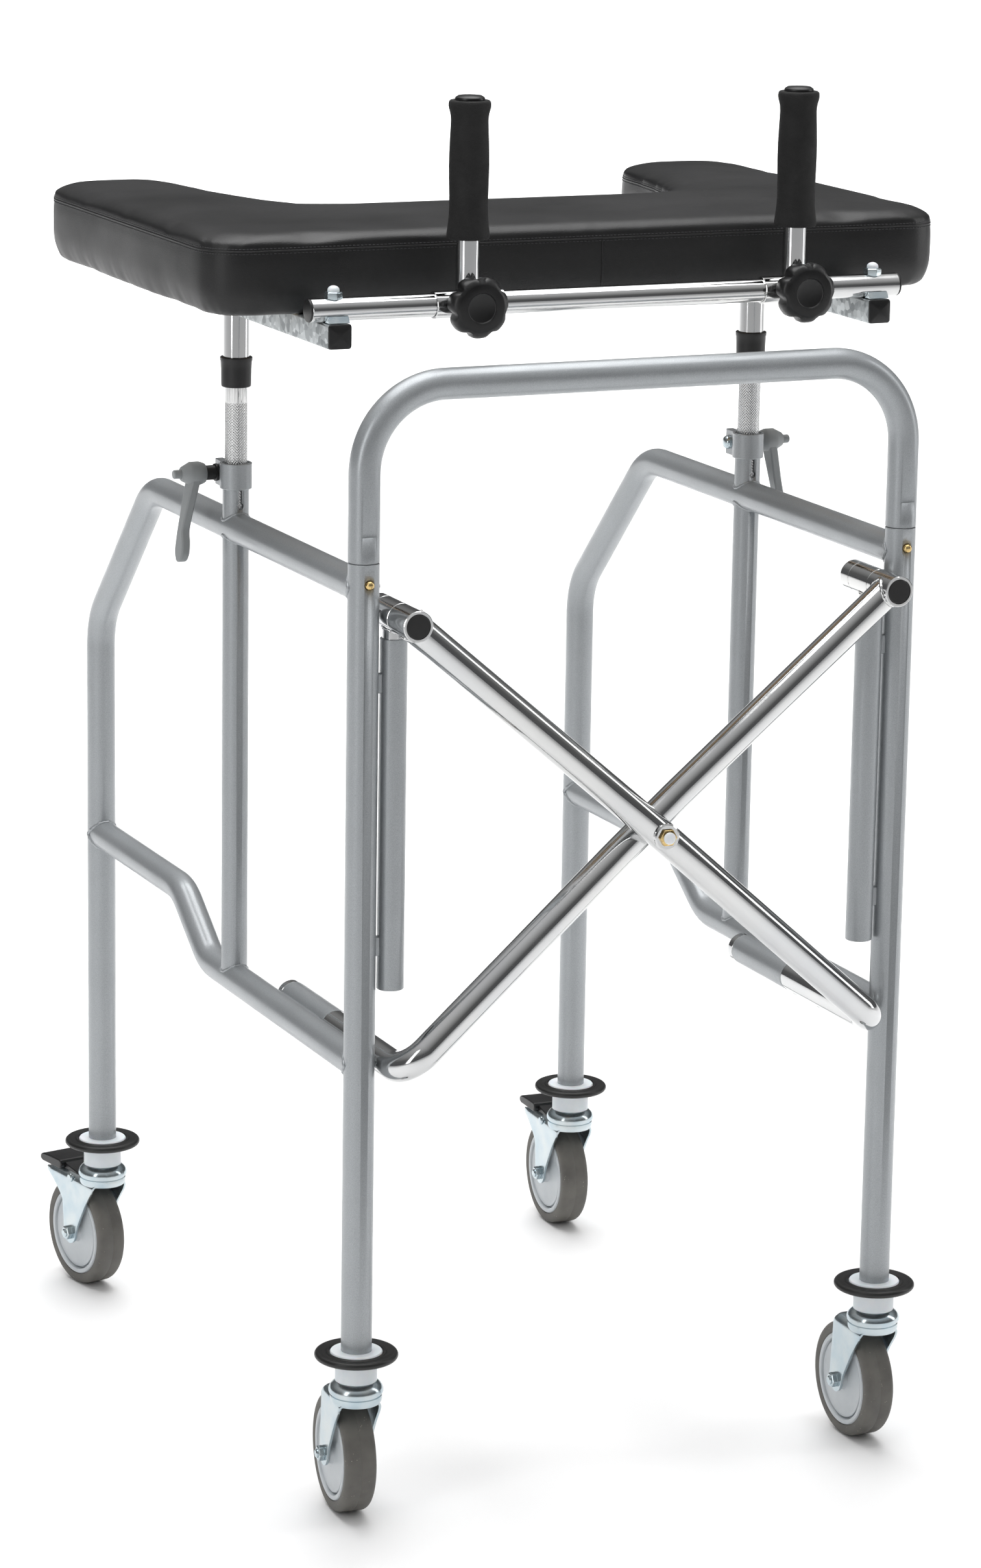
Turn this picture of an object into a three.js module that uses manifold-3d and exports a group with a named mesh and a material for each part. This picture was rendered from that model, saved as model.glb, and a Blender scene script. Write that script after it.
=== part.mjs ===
// Wheeled walking frame with a padded forearm platform, as an assembly of its real parts.
// Millimetres, +Z up, the user stands behind it at +Y, the brace and the cross bar face -Y.
// Each side frame is two legs on swivel casters joined by bent rails. A scissor brace holds the two
// side frames apart and folds them together; a loose arch and a height-adjustable platform sit on top.
import * as THREE from 'three';
import { mergeVertices } from 'three/addons/utils/BufferGeometryUtils.js';
import Module from 'manifold-3d';

const wasm = await Module();
wasm.setup();

// ---- driving dimensions ------------------------------------------------------------------------
const FRONT = -316.5;
const REAR = FRONT + 620;
const COLUMN = FRONT + 280.5;
const HALF_TRACK = 240;
const FIT = 0.3;

const LEG_R = 12.7;
const LEG_BORE = 10.7;
const LEG_FOOT = 147.3;
const LEG_TOP = 804;
const TOP_RAIL_Z = 784;
const LOW_RAIL_Z = 392;
const LOW_RAIL_REAR_Z = 440;

const PIVOT_X = 213.6;
const PIVOT_Z = 391;
const HEAD_Z = 760;
const CROSSING_Z = (PIVOT_Z + HEAD_Z) / 2;
const STEM_FOOT = 470;
const BRACE_Y = FRONT - 33.5;

const COLUMN_R = 11.1;
const COLUMN_BORE = 9.85;
const COLUMN_TOP = 838;
const POST_R = 9.55;
const POST_BORE = 7.6;
const POST_FOOT = 560;
const COLLAR_FOOT = 903;
const COLLAR_TOP = 928;
const SLIT_FOOT = 803;
const SLIT_WIDTH = 3.5;
const CLAMP_Z = 828;
const CLAMP_BOLT_Y = COLUMN + 18.5;

const BAR_X = 241;
const BAR_SIZE = 20;
const BAR_Z = 976;
const CROSS_Y = FRONT + 64;
const CROSS_Z = 996;
const GRIP_X = { left: -126, right: 167 };
const PAD_BASE = 986.3;
const PAD_TOP = 1050;

const WHEEL_R = 50;
const TRAIL = 30;
const HEADING = { front_left: 5, front_right: 0, rear_left: -11, rear_right: 2 };

const ROUND = 16;
const SMALL_ROUND = 12;
const WHEEL_ROUND = 16;
const STEPS_PER_BEND = 3;

const group = new THREE.Group();
group.name = 'walking_frame';

// ---- finishes ----------------------------------------------------------------------------------
const FINISH = {
  frame_paint: { color: 0xa3a9ad, metalness: 0.3, roughness: 0.45 },
  chrome_tube: { color: 0xd8dadc, metalness: 1.0, roughness: 0.12 },
  zinc_plate: { color: 0xb9c3c9, metalness: 0.9, roughness: 0.35 },
  brass_button: { color: 0xb8923f, metalness: 1.0, roughness: 0.3 },
  black_rubber: { color: 0x1c1c1d, metalness: 0.0, roughness: 0.7 },
  white_plastic: { color: 0xe9edf0, metalness: 0.0, roughness: 0.45 },
  core_plastic: { color: 0xc9cfd3, metalness: 0.0, roughness: 0.5 },
  grey_tyre: { color: 0x5d5b57, metalness: 0.0, roughness: 0.75 },
  grey_plastic: { color: 0x8d9296, metalness: 0.0, roughness: 0.45 },
  black_plastic: { color: 0x18181a, metalness: 0.0, roughness: 0.4 },
  vinyl: { color: 0x141415, metalness: 0.0, roughness: 0.5 },
  grip_foam: { color: 0x1f1f20, metalness: 0.0, roughness: 0.9 },
};

// ---- solid helpers -----------------------------------------------------------------------------
function solid(geometry) {
  const g = geometry.index ? geometry.clone() : geometry;
  g.deleteAttribute('normal');
  g.deleteAttribute('uv');
  const merged = mergeVertices(g, 1e-4);
  const mesh = new wasm.Mesh({
    numProp: 3,
    vertProperties: new Float32Array(merged.attributes.position.array),
    triVerts: new Uint32Array(merged.index.array),
  });
  return new wasm.Manifold(mesh);
}

function add(name, shape, finish) {
  const mesh = shape.getMesh();
  const geometry = new THREE.BufferGeometry();
  geometry.setAttribute('position', new THREE.BufferAttribute(new Float32Array(mesh.vertProperties), 3));
  geometry.setIndex(new THREE.BufferAttribute(new Uint32Array(mesh.triVerts), 1));
  geometry.computeVertexNormals();
  const material = new THREE.MeshStandardMaterial({ name: finish, flatShading: true, ...FINISH[finish] });
  const object = new THREE.Mesh(geometry, material);
  object.name = name;
  group.add(object);
}

// A body of revolution about +Z from a closed profile of [radius, height] pairs.
function turned(profile, segments = ROUND) {
  const points = profile.map(([r, z]) => new THREE.Vector2(r, z));
  const onAxis = profile[0][0] === 0 && profile[profile.length - 1][0] === 0;
  if (!onAxis) points.push(points[0].clone());
  const g = new THREE.LatheGeometry(points, segments);
  g.rotateX(Math.PI / 2);
  g.scale(1, -1, 1);
  return oriented(g);
}

// Turns every triangle round when the body was made inside out.
function oriented(g) {
  const s = solid(g);
  if (!s.isEmpty() && s.volume() > 0) return s;
  const flipped = g.clone();
  const index = flipped.index.array;
  for (let i = 0; i < index.length; i += 3) {
    const keep = index[i];
    index[i] = index[i + 1];
    index[i + 1] = keep;
  }
  return solid(flipped);
}

function rod(radius, from, to, segments = ROUND) {
  return turned([[0, from], [radius, from], [radius, to], [0, to]], segments);
}

function pipe(outer, inner, from, to, segments = ROUND) {
  return turned([[inner, from], [outer, from], [outer, to], [inner, to]], segments);
}

function block(x0, x1, y0, y1, z0, z1) {
  const g = new THREE.BoxGeometry(x1 - x0, y1 - y0, z1 - z0);
  g.translate((x0 + x1) / 2, (y0 + y1) / 2, (z0 + z1) / 2);
  return solid(g);
}

// Stands a body made about +Z along +Y or +X instead.
const alongY = (s) => s.rotate([-90, 0, 0]);
const alongX = (s) => s.rotate([0, 90, 0]);

// A tube path with straight runs and round bends: corners are [point, bend radius].
class BentPath extends THREE.Curve {
  constructor(corners, stepsPerBend) {
    super();
    this.stations = [];
    this.tangents = [];
    const points = corners.map(([p]) => new THREE.Vector3(...p));
    const last = points.length - 1;
    this.push(points[0], points[1].clone().sub(points[0]).normalize());
    for (let i = 1; i < last; i += 1) {
      const into = points[i].clone().sub(points[i - 1]).normalize();
      const out = points[i + 1].clone().sub(points[i]).normalize();
      this.bend(points[i], into, out, corners[i][1], stepsPerBend);
    }
    this.push(points[last], points[last].clone().sub(points[last - 1]).normalize());
  }

  push(point, tangent) {
    this.stations.push(point);
    this.tangents.push(tangent);
  }

  bend(corner, into, out, radius, fullSteps) {
    if (radius === 0) {
      this.push(corner.clone(), into.clone().add(out).normalize());
      return;
    }
    const turn = into.angleTo(out);
    const setBack = radius * Math.tan(turn / 2);
    const axis = into.clone().cross(out).normalize();
    const start = corner.clone().addScaledVector(into, -setBack);
    const inward = axis.clone().cross(into);
    const centre = start.clone().addScaledVector(inward, radius);
    const steps = Math.max(1, Math.round(fullSteps * turn / (Math.PI / 2)));
    for (let i = 0; i <= steps; i += 1) {
      const angle = turn * i / steps;
      const arm = inward.clone().multiplyScalar(-radius).applyAxisAngle(axis, angle);
      this.push(centre.clone().add(arm), into.clone().applyAxisAngle(axis, angle));
    }
  }

  getPointAt(u) {
    return this.stations[Math.round(u * (this.stations.length - 1))].clone();
  }

  getTangentAt(u) {
    return this.tangents[Math.round(u * (this.tangents.length - 1))].clone();
  }
}

function bentTube(corners, outer, inner) {
  const path = new BentPath(corners, STEPS_PER_BEND);
  const section = new THREE.Shape();
  section.absarc(0, 0, outer, 0, Math.PI * 2);
  const bore = new THREE.Path();
  bore.absarc(0, 0, inner, 0, Math.PI * 2, true);
  section.holes.push(bore);
  const g = new THREE.ExtrudeGeometry(section, {
    steps: path.stations.length - 1,
    curveSegments: ROUND / 2,
    extrudePath: path,
    bevelEnabled: false,
  });
  return oriented(mergeVertices(stripped(g), 1e-4));
}

function stripped(g) {
  g.deleteAttribute('normal');
  g.deleteAttribute('uv');
  return g;
}

// A flat plate cut from an outline in the (u, v) plane, its thickness from w0 to w1.
function plate(outline, w0, w1, roundCorners = 0) {
  const shape = new THREE.Shape();
  if (roundCorners > 0) {
    outline.forEach((p, i) => {
      const before = outline[(i + outline.length - 1) % outline.length];
      const after = outline[(i + 1) % outline.length];
      const from = toward(p, before, p[2] ?? roundCorners);
      const to = toward(p, after, p[2] ?? roundCorners);
      if (i === 0) shape.moveTo(...from);
      else shape.lineTo(...from);
      shape.quadraticCurveTo(p[0], p[1], ...to);
    });
    shape.closePath();
  } else {
    shape.setFromPoints(outline.map((p) => new THREE.Vector2(p[0], p[1])));
  }
  const g = new THREE.ExtrudeGeometry(shape, { depth: w1 - w0, curveSegments: 2, bevelEnabled: false });
  g.translate(0, 0, w0);
  return oriented(mergeVertices(stripped(g), 1e-4));
}

function toward(p, q, distance) {
  const length = Math.hypot(q[0] - p[0], q[1] - p[1]);
  const k = Math.min(distance, length * 0.45) / length;
  return [p[0] + (q[0] - p[0]) * k, p[1] + (q[1] - p[1]) * k];
}

// ---- casters -----------------------------------------------------------------------------------
// One caster is built pointing back along +Y about its own swivel axis, then turned to its heading.
const BUSH_FOOT = 123;
const RING_Z = 141.7;
const FORK_INNER = 16.5;
const FORK_OUTER = 18.5;
const RIVET_U = 28;
const RIVET_Z = 104;

function bushSolid() {
  return turned([[5.8, BUSH_FOOT], [17.35, BUSH_FOOT], [17.35, 144], [21.5, 144], [21.5, 147],
    [10.4, 147], [10.4, 165], [5.8, 165]]);
}

function bumperSolid() {
  const top = RING_Z + 6.3;
  return turned([[17.7, RING_Z], [31, RING_Z], [34.5, RING_Z + 3], [31, top], [22, top], [22, RING_Z + 2],
    [17.7, RING_Z + 2]], WHEEL_ROUND);
}

// Side plate of the fork seen from the side: u runs back from the swivel axis, z up.
function forkPlate(rear) {
  const back = rear
    ? [[40, 47], [42, 66], [43, 80], [60, 95], [70, 100], [72.5, 102], [72, 103.2], [36, 107], [34, 109]]
    : [[40, 47], [36, 70], [36, 109]];
  const outline = [[-18.5, 109], [-18.5, 101], [-8, 93], [4, 76], [18, 53], [21, 44], [27, 39.5], [34, 40]];
  const side = plate([...outline, ...back], FORK_INNER, FORK_OUTER).rotate([90, 0, 90]);
  return side.add(side.mirror([1, 0, 0]));
}

function forkSolid(rear) {
  const swivel = turned([[0, 104], [19.8, 104], [21.4, 106.5], [22.5, 114.5], [21.6, 118.5], [16.6, 122.6],
    [5.4, 122.6], [5.4, 158], [0, 158]], SMALL_ROUND);
  const roof = block(-18.6, 18.6, -18.5, 34, 105, 108.8);
  let fork = swivel.add(roof).add(forkPlate(rear));
  const bolt = alongX(rod(4.2, -30, 30, SMALL_ROUND)).translate([0, TRAIL, WHEEL_R]);
  fork = fork.subtract(bolt);
  if (rear) {
    fork = fork.subtract(alongX(rod(2.9, -30, 30, 12)).translate([0, RIVET_U, RIVET_Z]));
    fork = fork.subtract(block(-15.4, 15.4, 16, 60, 99, 120));
  }
  return fork;
}

function axleSolid() {
  const reach = FORK_OUTER + FIT;
  const head = rod(6.4, reach, reach + 5, 6);
  const nut = rod(6.4, -reach - 5, -reach, 6);
  const axle = rod(3.9, -reach - 6.5, reach + 1, SMALL_ROUND).add(head).add(nut);
  return alongX(axle).translate([0, TRAIL, WHEEL_R]);
}

function coreSolid() {
  const face = 12;
  const half = [[4.3, 15.9], [9, 15.9], [10.5, face], [40, face]];
  const other = half.map(([r, w]) => [r, -w]).reverse();
  return alongX(turned([...half, ...other], WHEEL_ROUND)).translate([0, TRAIL, WHEEL_R]);
}

function tyreSolid() {
  const rim = 40.3;
  const half = [[rim, 13.2], [46.5, 13.2], [WHEEL_R, 9]];
  const other = half.map(([r, w]) => [r, -w]).reverse();
  return alongX(turned([...half, ...other], WHEEL_ROUND)).translate([0, TRAIL, WHEEL_R]);
}

// Brake pedal: a pressed arm between the fork ears, its tread standing over their back ends.
function pedalSolid() {
  const side = [[19, 101.5, 2], [44, 101.5, 2], [60, 101.5, 2], [76, 104, 3], [81, 108, 3], [81, 113, 2],
    [77, 115.5, 2], [46, 116, 2], [42, 112.5, 2], [19, 110, 2]];
  const arm = plate(side, -14, 14, 2).rotate([90, 0, 90]);
  const heel = [[46, 107.5, 1], [81, 107.5, 2], [83.5, 110.5, 2], [82.5, 114, 2], [78, 115.5, 2],
    [46, 116.5, 2]];
  const tread = plate(heel, -19, 19, 2).rotate([90, 0, 90]);
  const pin = alongX(rod(2.5, -20, 20, 12)).translate([0, RIVET_U, RIVET_Z]);
  return arm.add(tread).add(pin);
}

function caster(corner, x, y, rear) {
  const place = (s) => s.rotate([0, 0, -HEADING[corner]]).translate([x, y, 0]);
  add(`caster_bush_${corner}`, place(bushSolid()), 'white_plastic');
  add(`bumper_ring_${corner}`, place(bumperSolid()), 'black_rubber');
  add(`caster_fork_${corner}`, place(forkSolid(rear)), 'zinc_plate');
  add(`axle_bolt_${corner}`, place(axleSolid()), 'zinc_plate');
  add(`wheel_core_${corner}`, place(coreSolid()), 'core_plastic');
  add(`tyre_${corner}`, place(tyreSolid()), 'grey_tyre');
  if (rear) add(`brake_pedal_${corner}`, place(pedalSolid()), 'black_plastic');
}

// ---- side frames -------------------------------------------------------------------------------
const BUTTON_Z = 788;
const GUIDE_R = 11.1;
const GUIDE_BORE = 9.85;
const GUIDE_FOOT = 453.6;
const GUIDE_TOP = 742;
const SLEEVE_R = 13;
const SLEEVE_BORE = 11.2;
const SLEEVE_FRONT = FRONT + 115;
const SLEEVE_BACK = FRONT + 208;

// Front leg with the guide tube of the brace slider held beside it by two welded tabs.
function frontLeg(sign) {
  const x = sign * HALF_TRACK;
  const guideX = sign * PIVOT_X;
  let leg = pipe(LEG_R, LEG_BORE, LEG_FOOT, LEG_TOP).translate([x, FRONT, 0]);
  const guide = pipe(GUIDE_R, GUIDE_BORE, GUIDE_FOOT, GUIDE_TOP).translate([guideX, FRONT, 0]);
  leg = leg.add(guide);
  for (const z of [482, 698]) {
    const a = sign * (HALF_TRACK - 11.6);
    const b = sign * (PIVOT_X + 10.4);
    leg = leg.add(block(Math.min(a, b), Math.max(a, b), FRONT - 3, FRONT + 3, z, z + 16));
  }
  const hole = alongY(rod(4, -20, 0, SMALL_ROUND)).translate([x, FRONT, BUTTON_Z]);
  return leg.subtract(hole);
}

function snapButton(sign) {
  const profile = [[0, 10.9], [3.7, 10.9], [3.7, 14], [2.9, 15.4], [1.4, 16.2], [0, 16.4]];
  const stud = turned(profile, SMALL_ROUND).mirror([0, 0, 1]);
  return alongY(stud).translate([sign * HALF_TRACK, FRONT, BUTTON_Z]);
}

// Rear leg and top rail, one tube bent twice, coped to the front leg and bored for the column.
function rearLegRail(sign) {
  const x = sign * HALF_TRACK;
  const corners = [[[x, REAR, LEG_FOOT]], [[x, REAR, 640], 60], [[x, REAR - 144, TOP_RAIL_Z], 60],
    [[x, FRONT, TOP_RAIL_Z]]];
  return bentTube(corners, LEG_R, LEG_BORE)
    .subtract(rod(LEG_R + FIT, 700, 860).translate([x, FRONT, 0]))
    .subtract(rod(COLUMN_R + FIT, 700, 860).translate([x, COLUMN, 0]));
}

// Lower rail, stepped down ahead of the column, with the sleeve of the brace pivot welded beside it.
function lowerRail(sign) {
  const x = sign * HALF_TRACK;
  const corners = [[[x, REAR, LOW_RAIL_REAR_Z]], [[x, FRONT + 405, LOW_RAIL_REAR_Z], 50],
    [[x, FRONT + 335, LOW_RAIL_Z], 50], [[x, FRONT, LOW_RAIL_Z]]];
  const rail = bentTube(corners, LEG_R, LEG_BORE)
    .subtract(rod(LEG_R + FIT, 300, 520).translate([x, FRONT, 0]))
    .subtract(rod(LEG_R + FIT, 300, 520).translate([x, REAR, 0]));
  const sleeve = alongY(pipe(SLEEVE_R, SLEEVE_BORE, SLEEVE_FRONT, SLEEVE_BACK))
    .translate([sign * PIVOT_X, 0, PIVOT_Z]);
  const a = sign * (HALF_TRACK - 11.6);
  const b = sign * (PIVOT_X + 12);
  const weld = block(Math.min(a, b), Math.max(a, b), SLEEVE_FRONT + 5, SLEEVE_BACK - 5,
    PIVOT_Z - 5, PIVOT_Z + 5);
  return rail.add(sleeve).add(weld);
}

// Column tube standing on the lower rail, slit at the top so that the collar can close it.
function column(sign) {
  const x = sign * HALF_TRACK;
  return pipe(COLUMN_R, COLUMN_BORE, LOW_RAIL_Z + 4, COLUMN_TOP)
    .translate([x, COLUMN, 0])
    .subtract(alongY(rod(LEG_R + FIT, COLUMN - 30, COLUMN + 30)).translate([x, 0, LOW_RAIL_Z]))
    .subtract(block(x - SLIT_WIDTH / 2, x + SLIT_WIDTH / 2, COLUMN - 20, COLUMN, SLIT_FOOT, COLUMN_TOP + 5))
    .subtract(alongY(rod(3, -20, 0, SMALL_ROUND)).translate([x, COLUMN, SLIT_FOOT]));
}

function clampCollar(sign) {
  const x = sign * HALF_TRACK;
  const low = CLAMP_Z - 11;
  const high = CLAMP_Z + 11;
  return rod(13.4, low, high)
    .translate([x, COLUMN, 0])
    .add(block(x - 9, x + 9, COLUMN + 5, COLUMN + 26, low, high))
    .subtract(rod(COLUMN_R + FIT, low - 5, high + 5).translate([x, COLUMN, 0]))
    .subtract(block(x - 1.5, x + 1.5, COLUMN, COLUMN + 30, low - 5, high + 5))
    .subtract(alongX(rod(3.3, x - 20, x + 20, 12)).translate([0, CLAMP_BOLT_Y, CLAMP_Z]));
}

// Clamp bolt with its domed head inboard and, outboard, the tapered hub of a hanging lever.
function clampLever(sign) {
  const bolt = turned([[0, -14.5], [4.6, -13], [6.2, -9.3], [3, -9.3], [3, 9.3], [6, 9.3], [6, 19], [9.6, 22],
    [9.6, 31], [5.6, 42], [4, 42], [4, 49], [0, 49]], SMALL_ROUND);
  const lever = plate([[-6, 0, 2], [6, 0, 2], [5, -34, 8], [1, -60, 6], [-9, -71, 5], [-17, -66, 5],
    [-11, -54, 6], [-5, -34, 8]], 21.5, 30, 3).rotate([90, 0, 90]).rotate([0, -12, 0]);
  const clamp = alongX(bolt).add(lever);
  const faced = sign > 0 ? clamp : clamp.mirror([1, 0, 0]);
  return faced.translate([sign * HALF_TRACK, CLAMP_BOLT_Y, CLAMP_Z]);
}

// ---- arch over the front legs ------------------------------------------------------------------
const ARCH_TOP = 943;
const ARCH_BEND = 68;
const SPIGOT_FOOT = 744;

// A hoop whose left foot carries a spigot, crimped in, that stands down inside the left leg.
function archSolid() {
  const foot = LEG_TOP + FIT;
  const x = HALF_TRACK;
  const corners = [[[-x, FRONT, foot]], [[-x, FRONT, ARCH_TOP], ARCH_BEND],
    [[x, FRONT, ARCH_TOP], ARCH_BEND], [[x, FRONT, foot]]];
  const hoop = bentTube(corners, LEG_R, LEG_BORE);
  const spigot = turned([[8.4, SPIGOT_FOOT], [10.4, SPIGOT_FOOT], [10.4, foot + 2], [11.6, foot + 2],
    [11.6, foot + 14], [8.4, foot + 14]]).translate([-x, FRONT, 0]);
  const pocket = alongY(rod(4.1, -20, 0, SMALL_ROUND)).translate([-x, FRONT, BUTTON_Z]);
  return hoop.add(spigot.subtract(pocket));
}

// ---- scissor brace -----------------------------------------------------------------------------
// Each arm starts on a pivot shaft lying along the lower rail, bends into the diagonal, and ends in a
// head whose journal turns in the slider. lean is the arm's own set at the crossing, along Y.
function braceArm(side, lean) {
  const x = side * PIVOT_X;
  const reach = { x: 2 * PIVOT_X, z: HEAD_Z - PIVOT_Z };
  const at = (k, y) => [x - side * reach.x * k, y, PIVOT_Z + reach.z * k];
  const tube = bentTube([
    [[x, SLEEVE_FRONT - FIT, PIVOT_Z]],
    [at(0, BRACE_Y), 24],
    [at(0.44, BRACE_Y + lean), 0],
    [at(0.56, BRACE_Y + lean), 0],
    [at(1, BRACE_Y)],
  ], LEG_R, LEG_BORE);
  const shaftEnd = alongY(turned([
    [8.9, FRONT + 105], [11.7, FRONT + 105], [11.7, FRONT + 113], [10.9, FRONT + 113],
    [10.9, SLEEVE_BACK + FIT], [LEG_R, SLEEVE_BACK + FIT], [LEG_R, FRONT + 216], [8.9, FRONT + 216],
  ])).translate([x, 0, PIVOT_Z]);
  const head = alongY(turned([
    [0, FRONT - 50], [LEG_R, FRONT - 50], [LEG_R, FRONT - 16.3], [9.4, FRONT - 16.3],
    [9.4, FRONT + 16.3], [LEG_R, FRONT + 16.3], [LEG_R, FRONT + 30], [0, FRONT + 30],
  ])).translate([-x, 0, HEAD_Z]);
  const boltHole = alongY(rod(5.2, FRONT - 90, FRONT, SMALL_ROUND)).translate([0, 0, CROSSING_Z]);
  return tube.add(shaftEnd).add(head).subtract(boltHole);
}

function sliderSolid(side) {
  const x = side * PIVOT_X;
  const eye = alongY(rod(LEG_R, FRONT - 16, FRONT + 16)).translate([x, 0, HEAD_Z]);
  const stem = pipe(POST_R, POST_BORE, STEM_FOOT, HEAD_Z).translate([x, FRONT, 0]);
  const bore = alongY(rod(9.7, FRONT - 30, FRONT + 30)).translate([x, 0, HEAD_Z]);
  return eye.add(stem).subtract(bore);
}

function centreBolt() {
  const profile = [[0, FRONT - 72], [4.6, FRONT - 70], [6, FRONT - 66], [11, FRONT - 66], [11, FRONT - 64.1],
    [4.8, FRONT - 64.1], [4.8, FRONT - 11.6], [8.5, FRONT - 11.6], [8.5, FRONT - 6.5], [0, FRONT - 6.5]];
  return alongY(turned(profile, SMALL_ROUND)).translate([0, 0, CROSSING_Z]);
}

// ---- platform ----------------------------------------------------------------------------------
function innerPost(sign, top) {
  return pipe(POST_R, POST_BORE, POST_FOOT, top).translate([sign * HALF_TRACK, COLUMN, 0]);
}

// Upper post: a tube under the square bar, a moulded collar at its foot and a gusset at its head.
function outerPost(sign) {
  const x = sign * HALF_TRACK;
  const under = BAR_Z - BAR_SIZE / 2 - FIT;
  const tube = pipe(COLUMN_R, COLUMN_BORE, COLLAR_FOOT, under).translate([x, COLUMN, 0]);
  const collar = pipe(13, 10.4, COLLAR_FOOT, COLLAR_TOP).translate([x, COLUMN, 0]);
  const gusset = plate([[10.4, under], [32, under], [10.4, under - 26]], -1.5, 1.5)
    .rotate([90, 0, 90])
    .translate([x, COLUMN, 0]);
  return tube.add(collar).add(gusset);
}

function squareBar(sign) {
  const half = BAR_SIZE / 2;
  const hollow = half - 1.6;
  const x = sign * BAR_X;
  const front = FRONT + 51;
  const back = FRONT + 480;
  return block(x - half, x + half, front, back, BAR_Z - half, BAR_Z + half)
    .subtract(block(x - hollow, x + hollow, front - 5, back + 5, BAR_Z - hollow, BAR_Z + hollow));
}

function crossBar() {
  return alongX(pipe(POST_R, 7.9, -262, 262)).translate([0, CROSS_Y, CROSS_Z]);
}

// Grip stem: a sleeve gripping the cross bar, a boss for the knob's screw and an upright stalk.
function gripStem(x) {
  const sleeve = alongX(rod(11.1, x - 30, x + 30)).translate([0, CROSS_Y, CROSS_Z]);
  const stalk = rod(POST_R, CROSS_Z, 1160).translate([x, CROSS_Y, 0]);
  const bore = alongX(rod(COLUMN_BORE, x - 40, x + 40)).translate([0, CROSS_Y, CROSS_Z]);
  return sleeve.add(stalk).subtract(bore);
}

function gripFoam(x) {
  const r = POST_R + FIT;
  const profile = [[r, 1048], [17.3, 1048], [17.3, 1054], [15.5, 1068], [16.1, 1105], [15.1, 1142],
    [17, 1151], [17, 1158], [r, 1158]];
  return turned(profile).translate([x, CROSS_Y, 0]);
}

// Star knob: a disc with seven finger notches cut in its rim, its hub facing the sleeve.
function starKnob(x) {
  const lobes = 7;
  const rim = 25;
  const notch = 21.6;
  const outline = [];
  const steps = lobes * 4;
  for (let i = 0; i < steps; i += 1) {
    const angle = 2 * Math.PI * i / steps;
    const r = i % 4 === 0 ? notch : rim;
    outline.push([r * Math.sin(angle), r * Math.cos(angle)]);
  }
  const face = FRONT + 33;
  const star = plate(outline, 0, 17).rotate([-90, 0, 0]).translate([x, face, CROSS_Z]);
  const hub = alongY(rod(9.5, face + 10, CROSS_Y - 11.1 - FIT, SMALL_ROUND)).translate([x, 0, CROSS_Z]);
  return star.add(hub);
}

// Forearm pad: a U open to the back, flat below, its top edge rounded over.
function padSolid() {
  const outerX = 335;
  const innerX = 215;
  const front = FRONT + 97;
  const back = FRONT + 526;
  const cut = FRONT + 303;
  const edge = 8;
  const half = [[outerX - edge, front + edge, 45], [outerX - edge, back - edge, 58],
    [innerX + edge, back - edge, 44], [innerX - 6, FRONT + 395, 60], [178, cut - edge, 58]];
  const other = half.map(([x, y, r]) => [-x, y, r]).reverse();
  const shape = new THREE.Shape();
  const ring = [...half, ...other];
  ring.forEach((p, i) => {
    const before = ring[(i + ring.length - 1) % ring.length];
    const after = ring[(i + 1) % ring.length];
    const from = toward(p, before, p[2]);
    if (i === 0) shape.moveTo(...from);
    else shape.lineTo(...from);
    shape.quadraticCurveTo(p[0], p[1], ...toward(p, after, p[2]));
  });
  shape.closePath();
  const g = new THREE.ExtrudeGeometry(shape, {
    depth: PAD_TOP - PAD_BASE,
    curveSegments: 5,
    bevelThickness: 10,
    bevelSize: edge,
    bevelSegments: 2,
  });
  g.translate(0, 0, PAD_BASE - 10);
  return oriented(mergeVertices(stripped(g), 1e-4))
    .subtract(block(-400, 400, -600, 600, PAD_BASE - 60, PAD_BASE))
    .subtract(block(-400, 400, -600, 600, PAD_TOP, PAD_TOP + 60));
}

// ---- assembly ----------------------------------------------------------------------------------
for (const [name, sign] of [['left', -1], ['right', 1]]) {
  add(`front_leg_${name}`, frontLeg(sign), 'frame_paint');
  add(`rear_leg_rail_${name}`, rearLegRail(sign), 'frame_paint');
  add(`lower_rail_${name}`, lowerRail(sign), 'frame_paint');
  add(`column_${name}`, column(sign), 'frame_paint');
  add(`clamp_collar_${name}`, clampCollar(sign), 'frame_paint');
  add(`clamp_lever_${name}`, clampLever(sign), 'grey_plastic');
  add(`snap_button_${name}`, snapButton(sign), 'brass_button');
  add(`slider_${name}`, sliderSolid(sign), 'chrome_tube');
  add(`outer_post_${name}`, outerPost(sign), 'chrome_tube');
  add(`square_bar_${name}`, squareBar(sign), 'zinc_plate');
  add(`grip_stem_${name}`, gripStem(GRIP_X[name]), 'chrome_tube');
  add(`grip_foam_${name}`, gripFoam(GRIP_X[name]), 'grip_foam');
  add(`star_knob_${name}`, starKnob(GRIP_X[name]), 'black_plastic');
  caster(`front_${name}`, sign * HALF_TRACK, FRONT, false);
  caster(`rear_${name}`, sign * HALF_TRACK, REAR, true);
}
add('inner_post_left', innerPost(-1, 950), 'chrome_tube');
add('inner_post_right', innerPost(1, COLLAR_FOOT - FIT), 'chrome_tube');
add('arch', archSolid(), 'frame_paint');
add('brace_arm_back', braceArm(-1, 8.5), 'chrome_tube');
add('brace_arm_front', braceArm(1, -17.5), 'chrome_tube');
add('centre_bolt', centreBolt(), 'zinc_plate');
add('cross_bar', crossBar(), 'chrome_tube');
add('forearm_pad', padSolid(), 'vinyl');

export default group;
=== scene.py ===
import math

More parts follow.
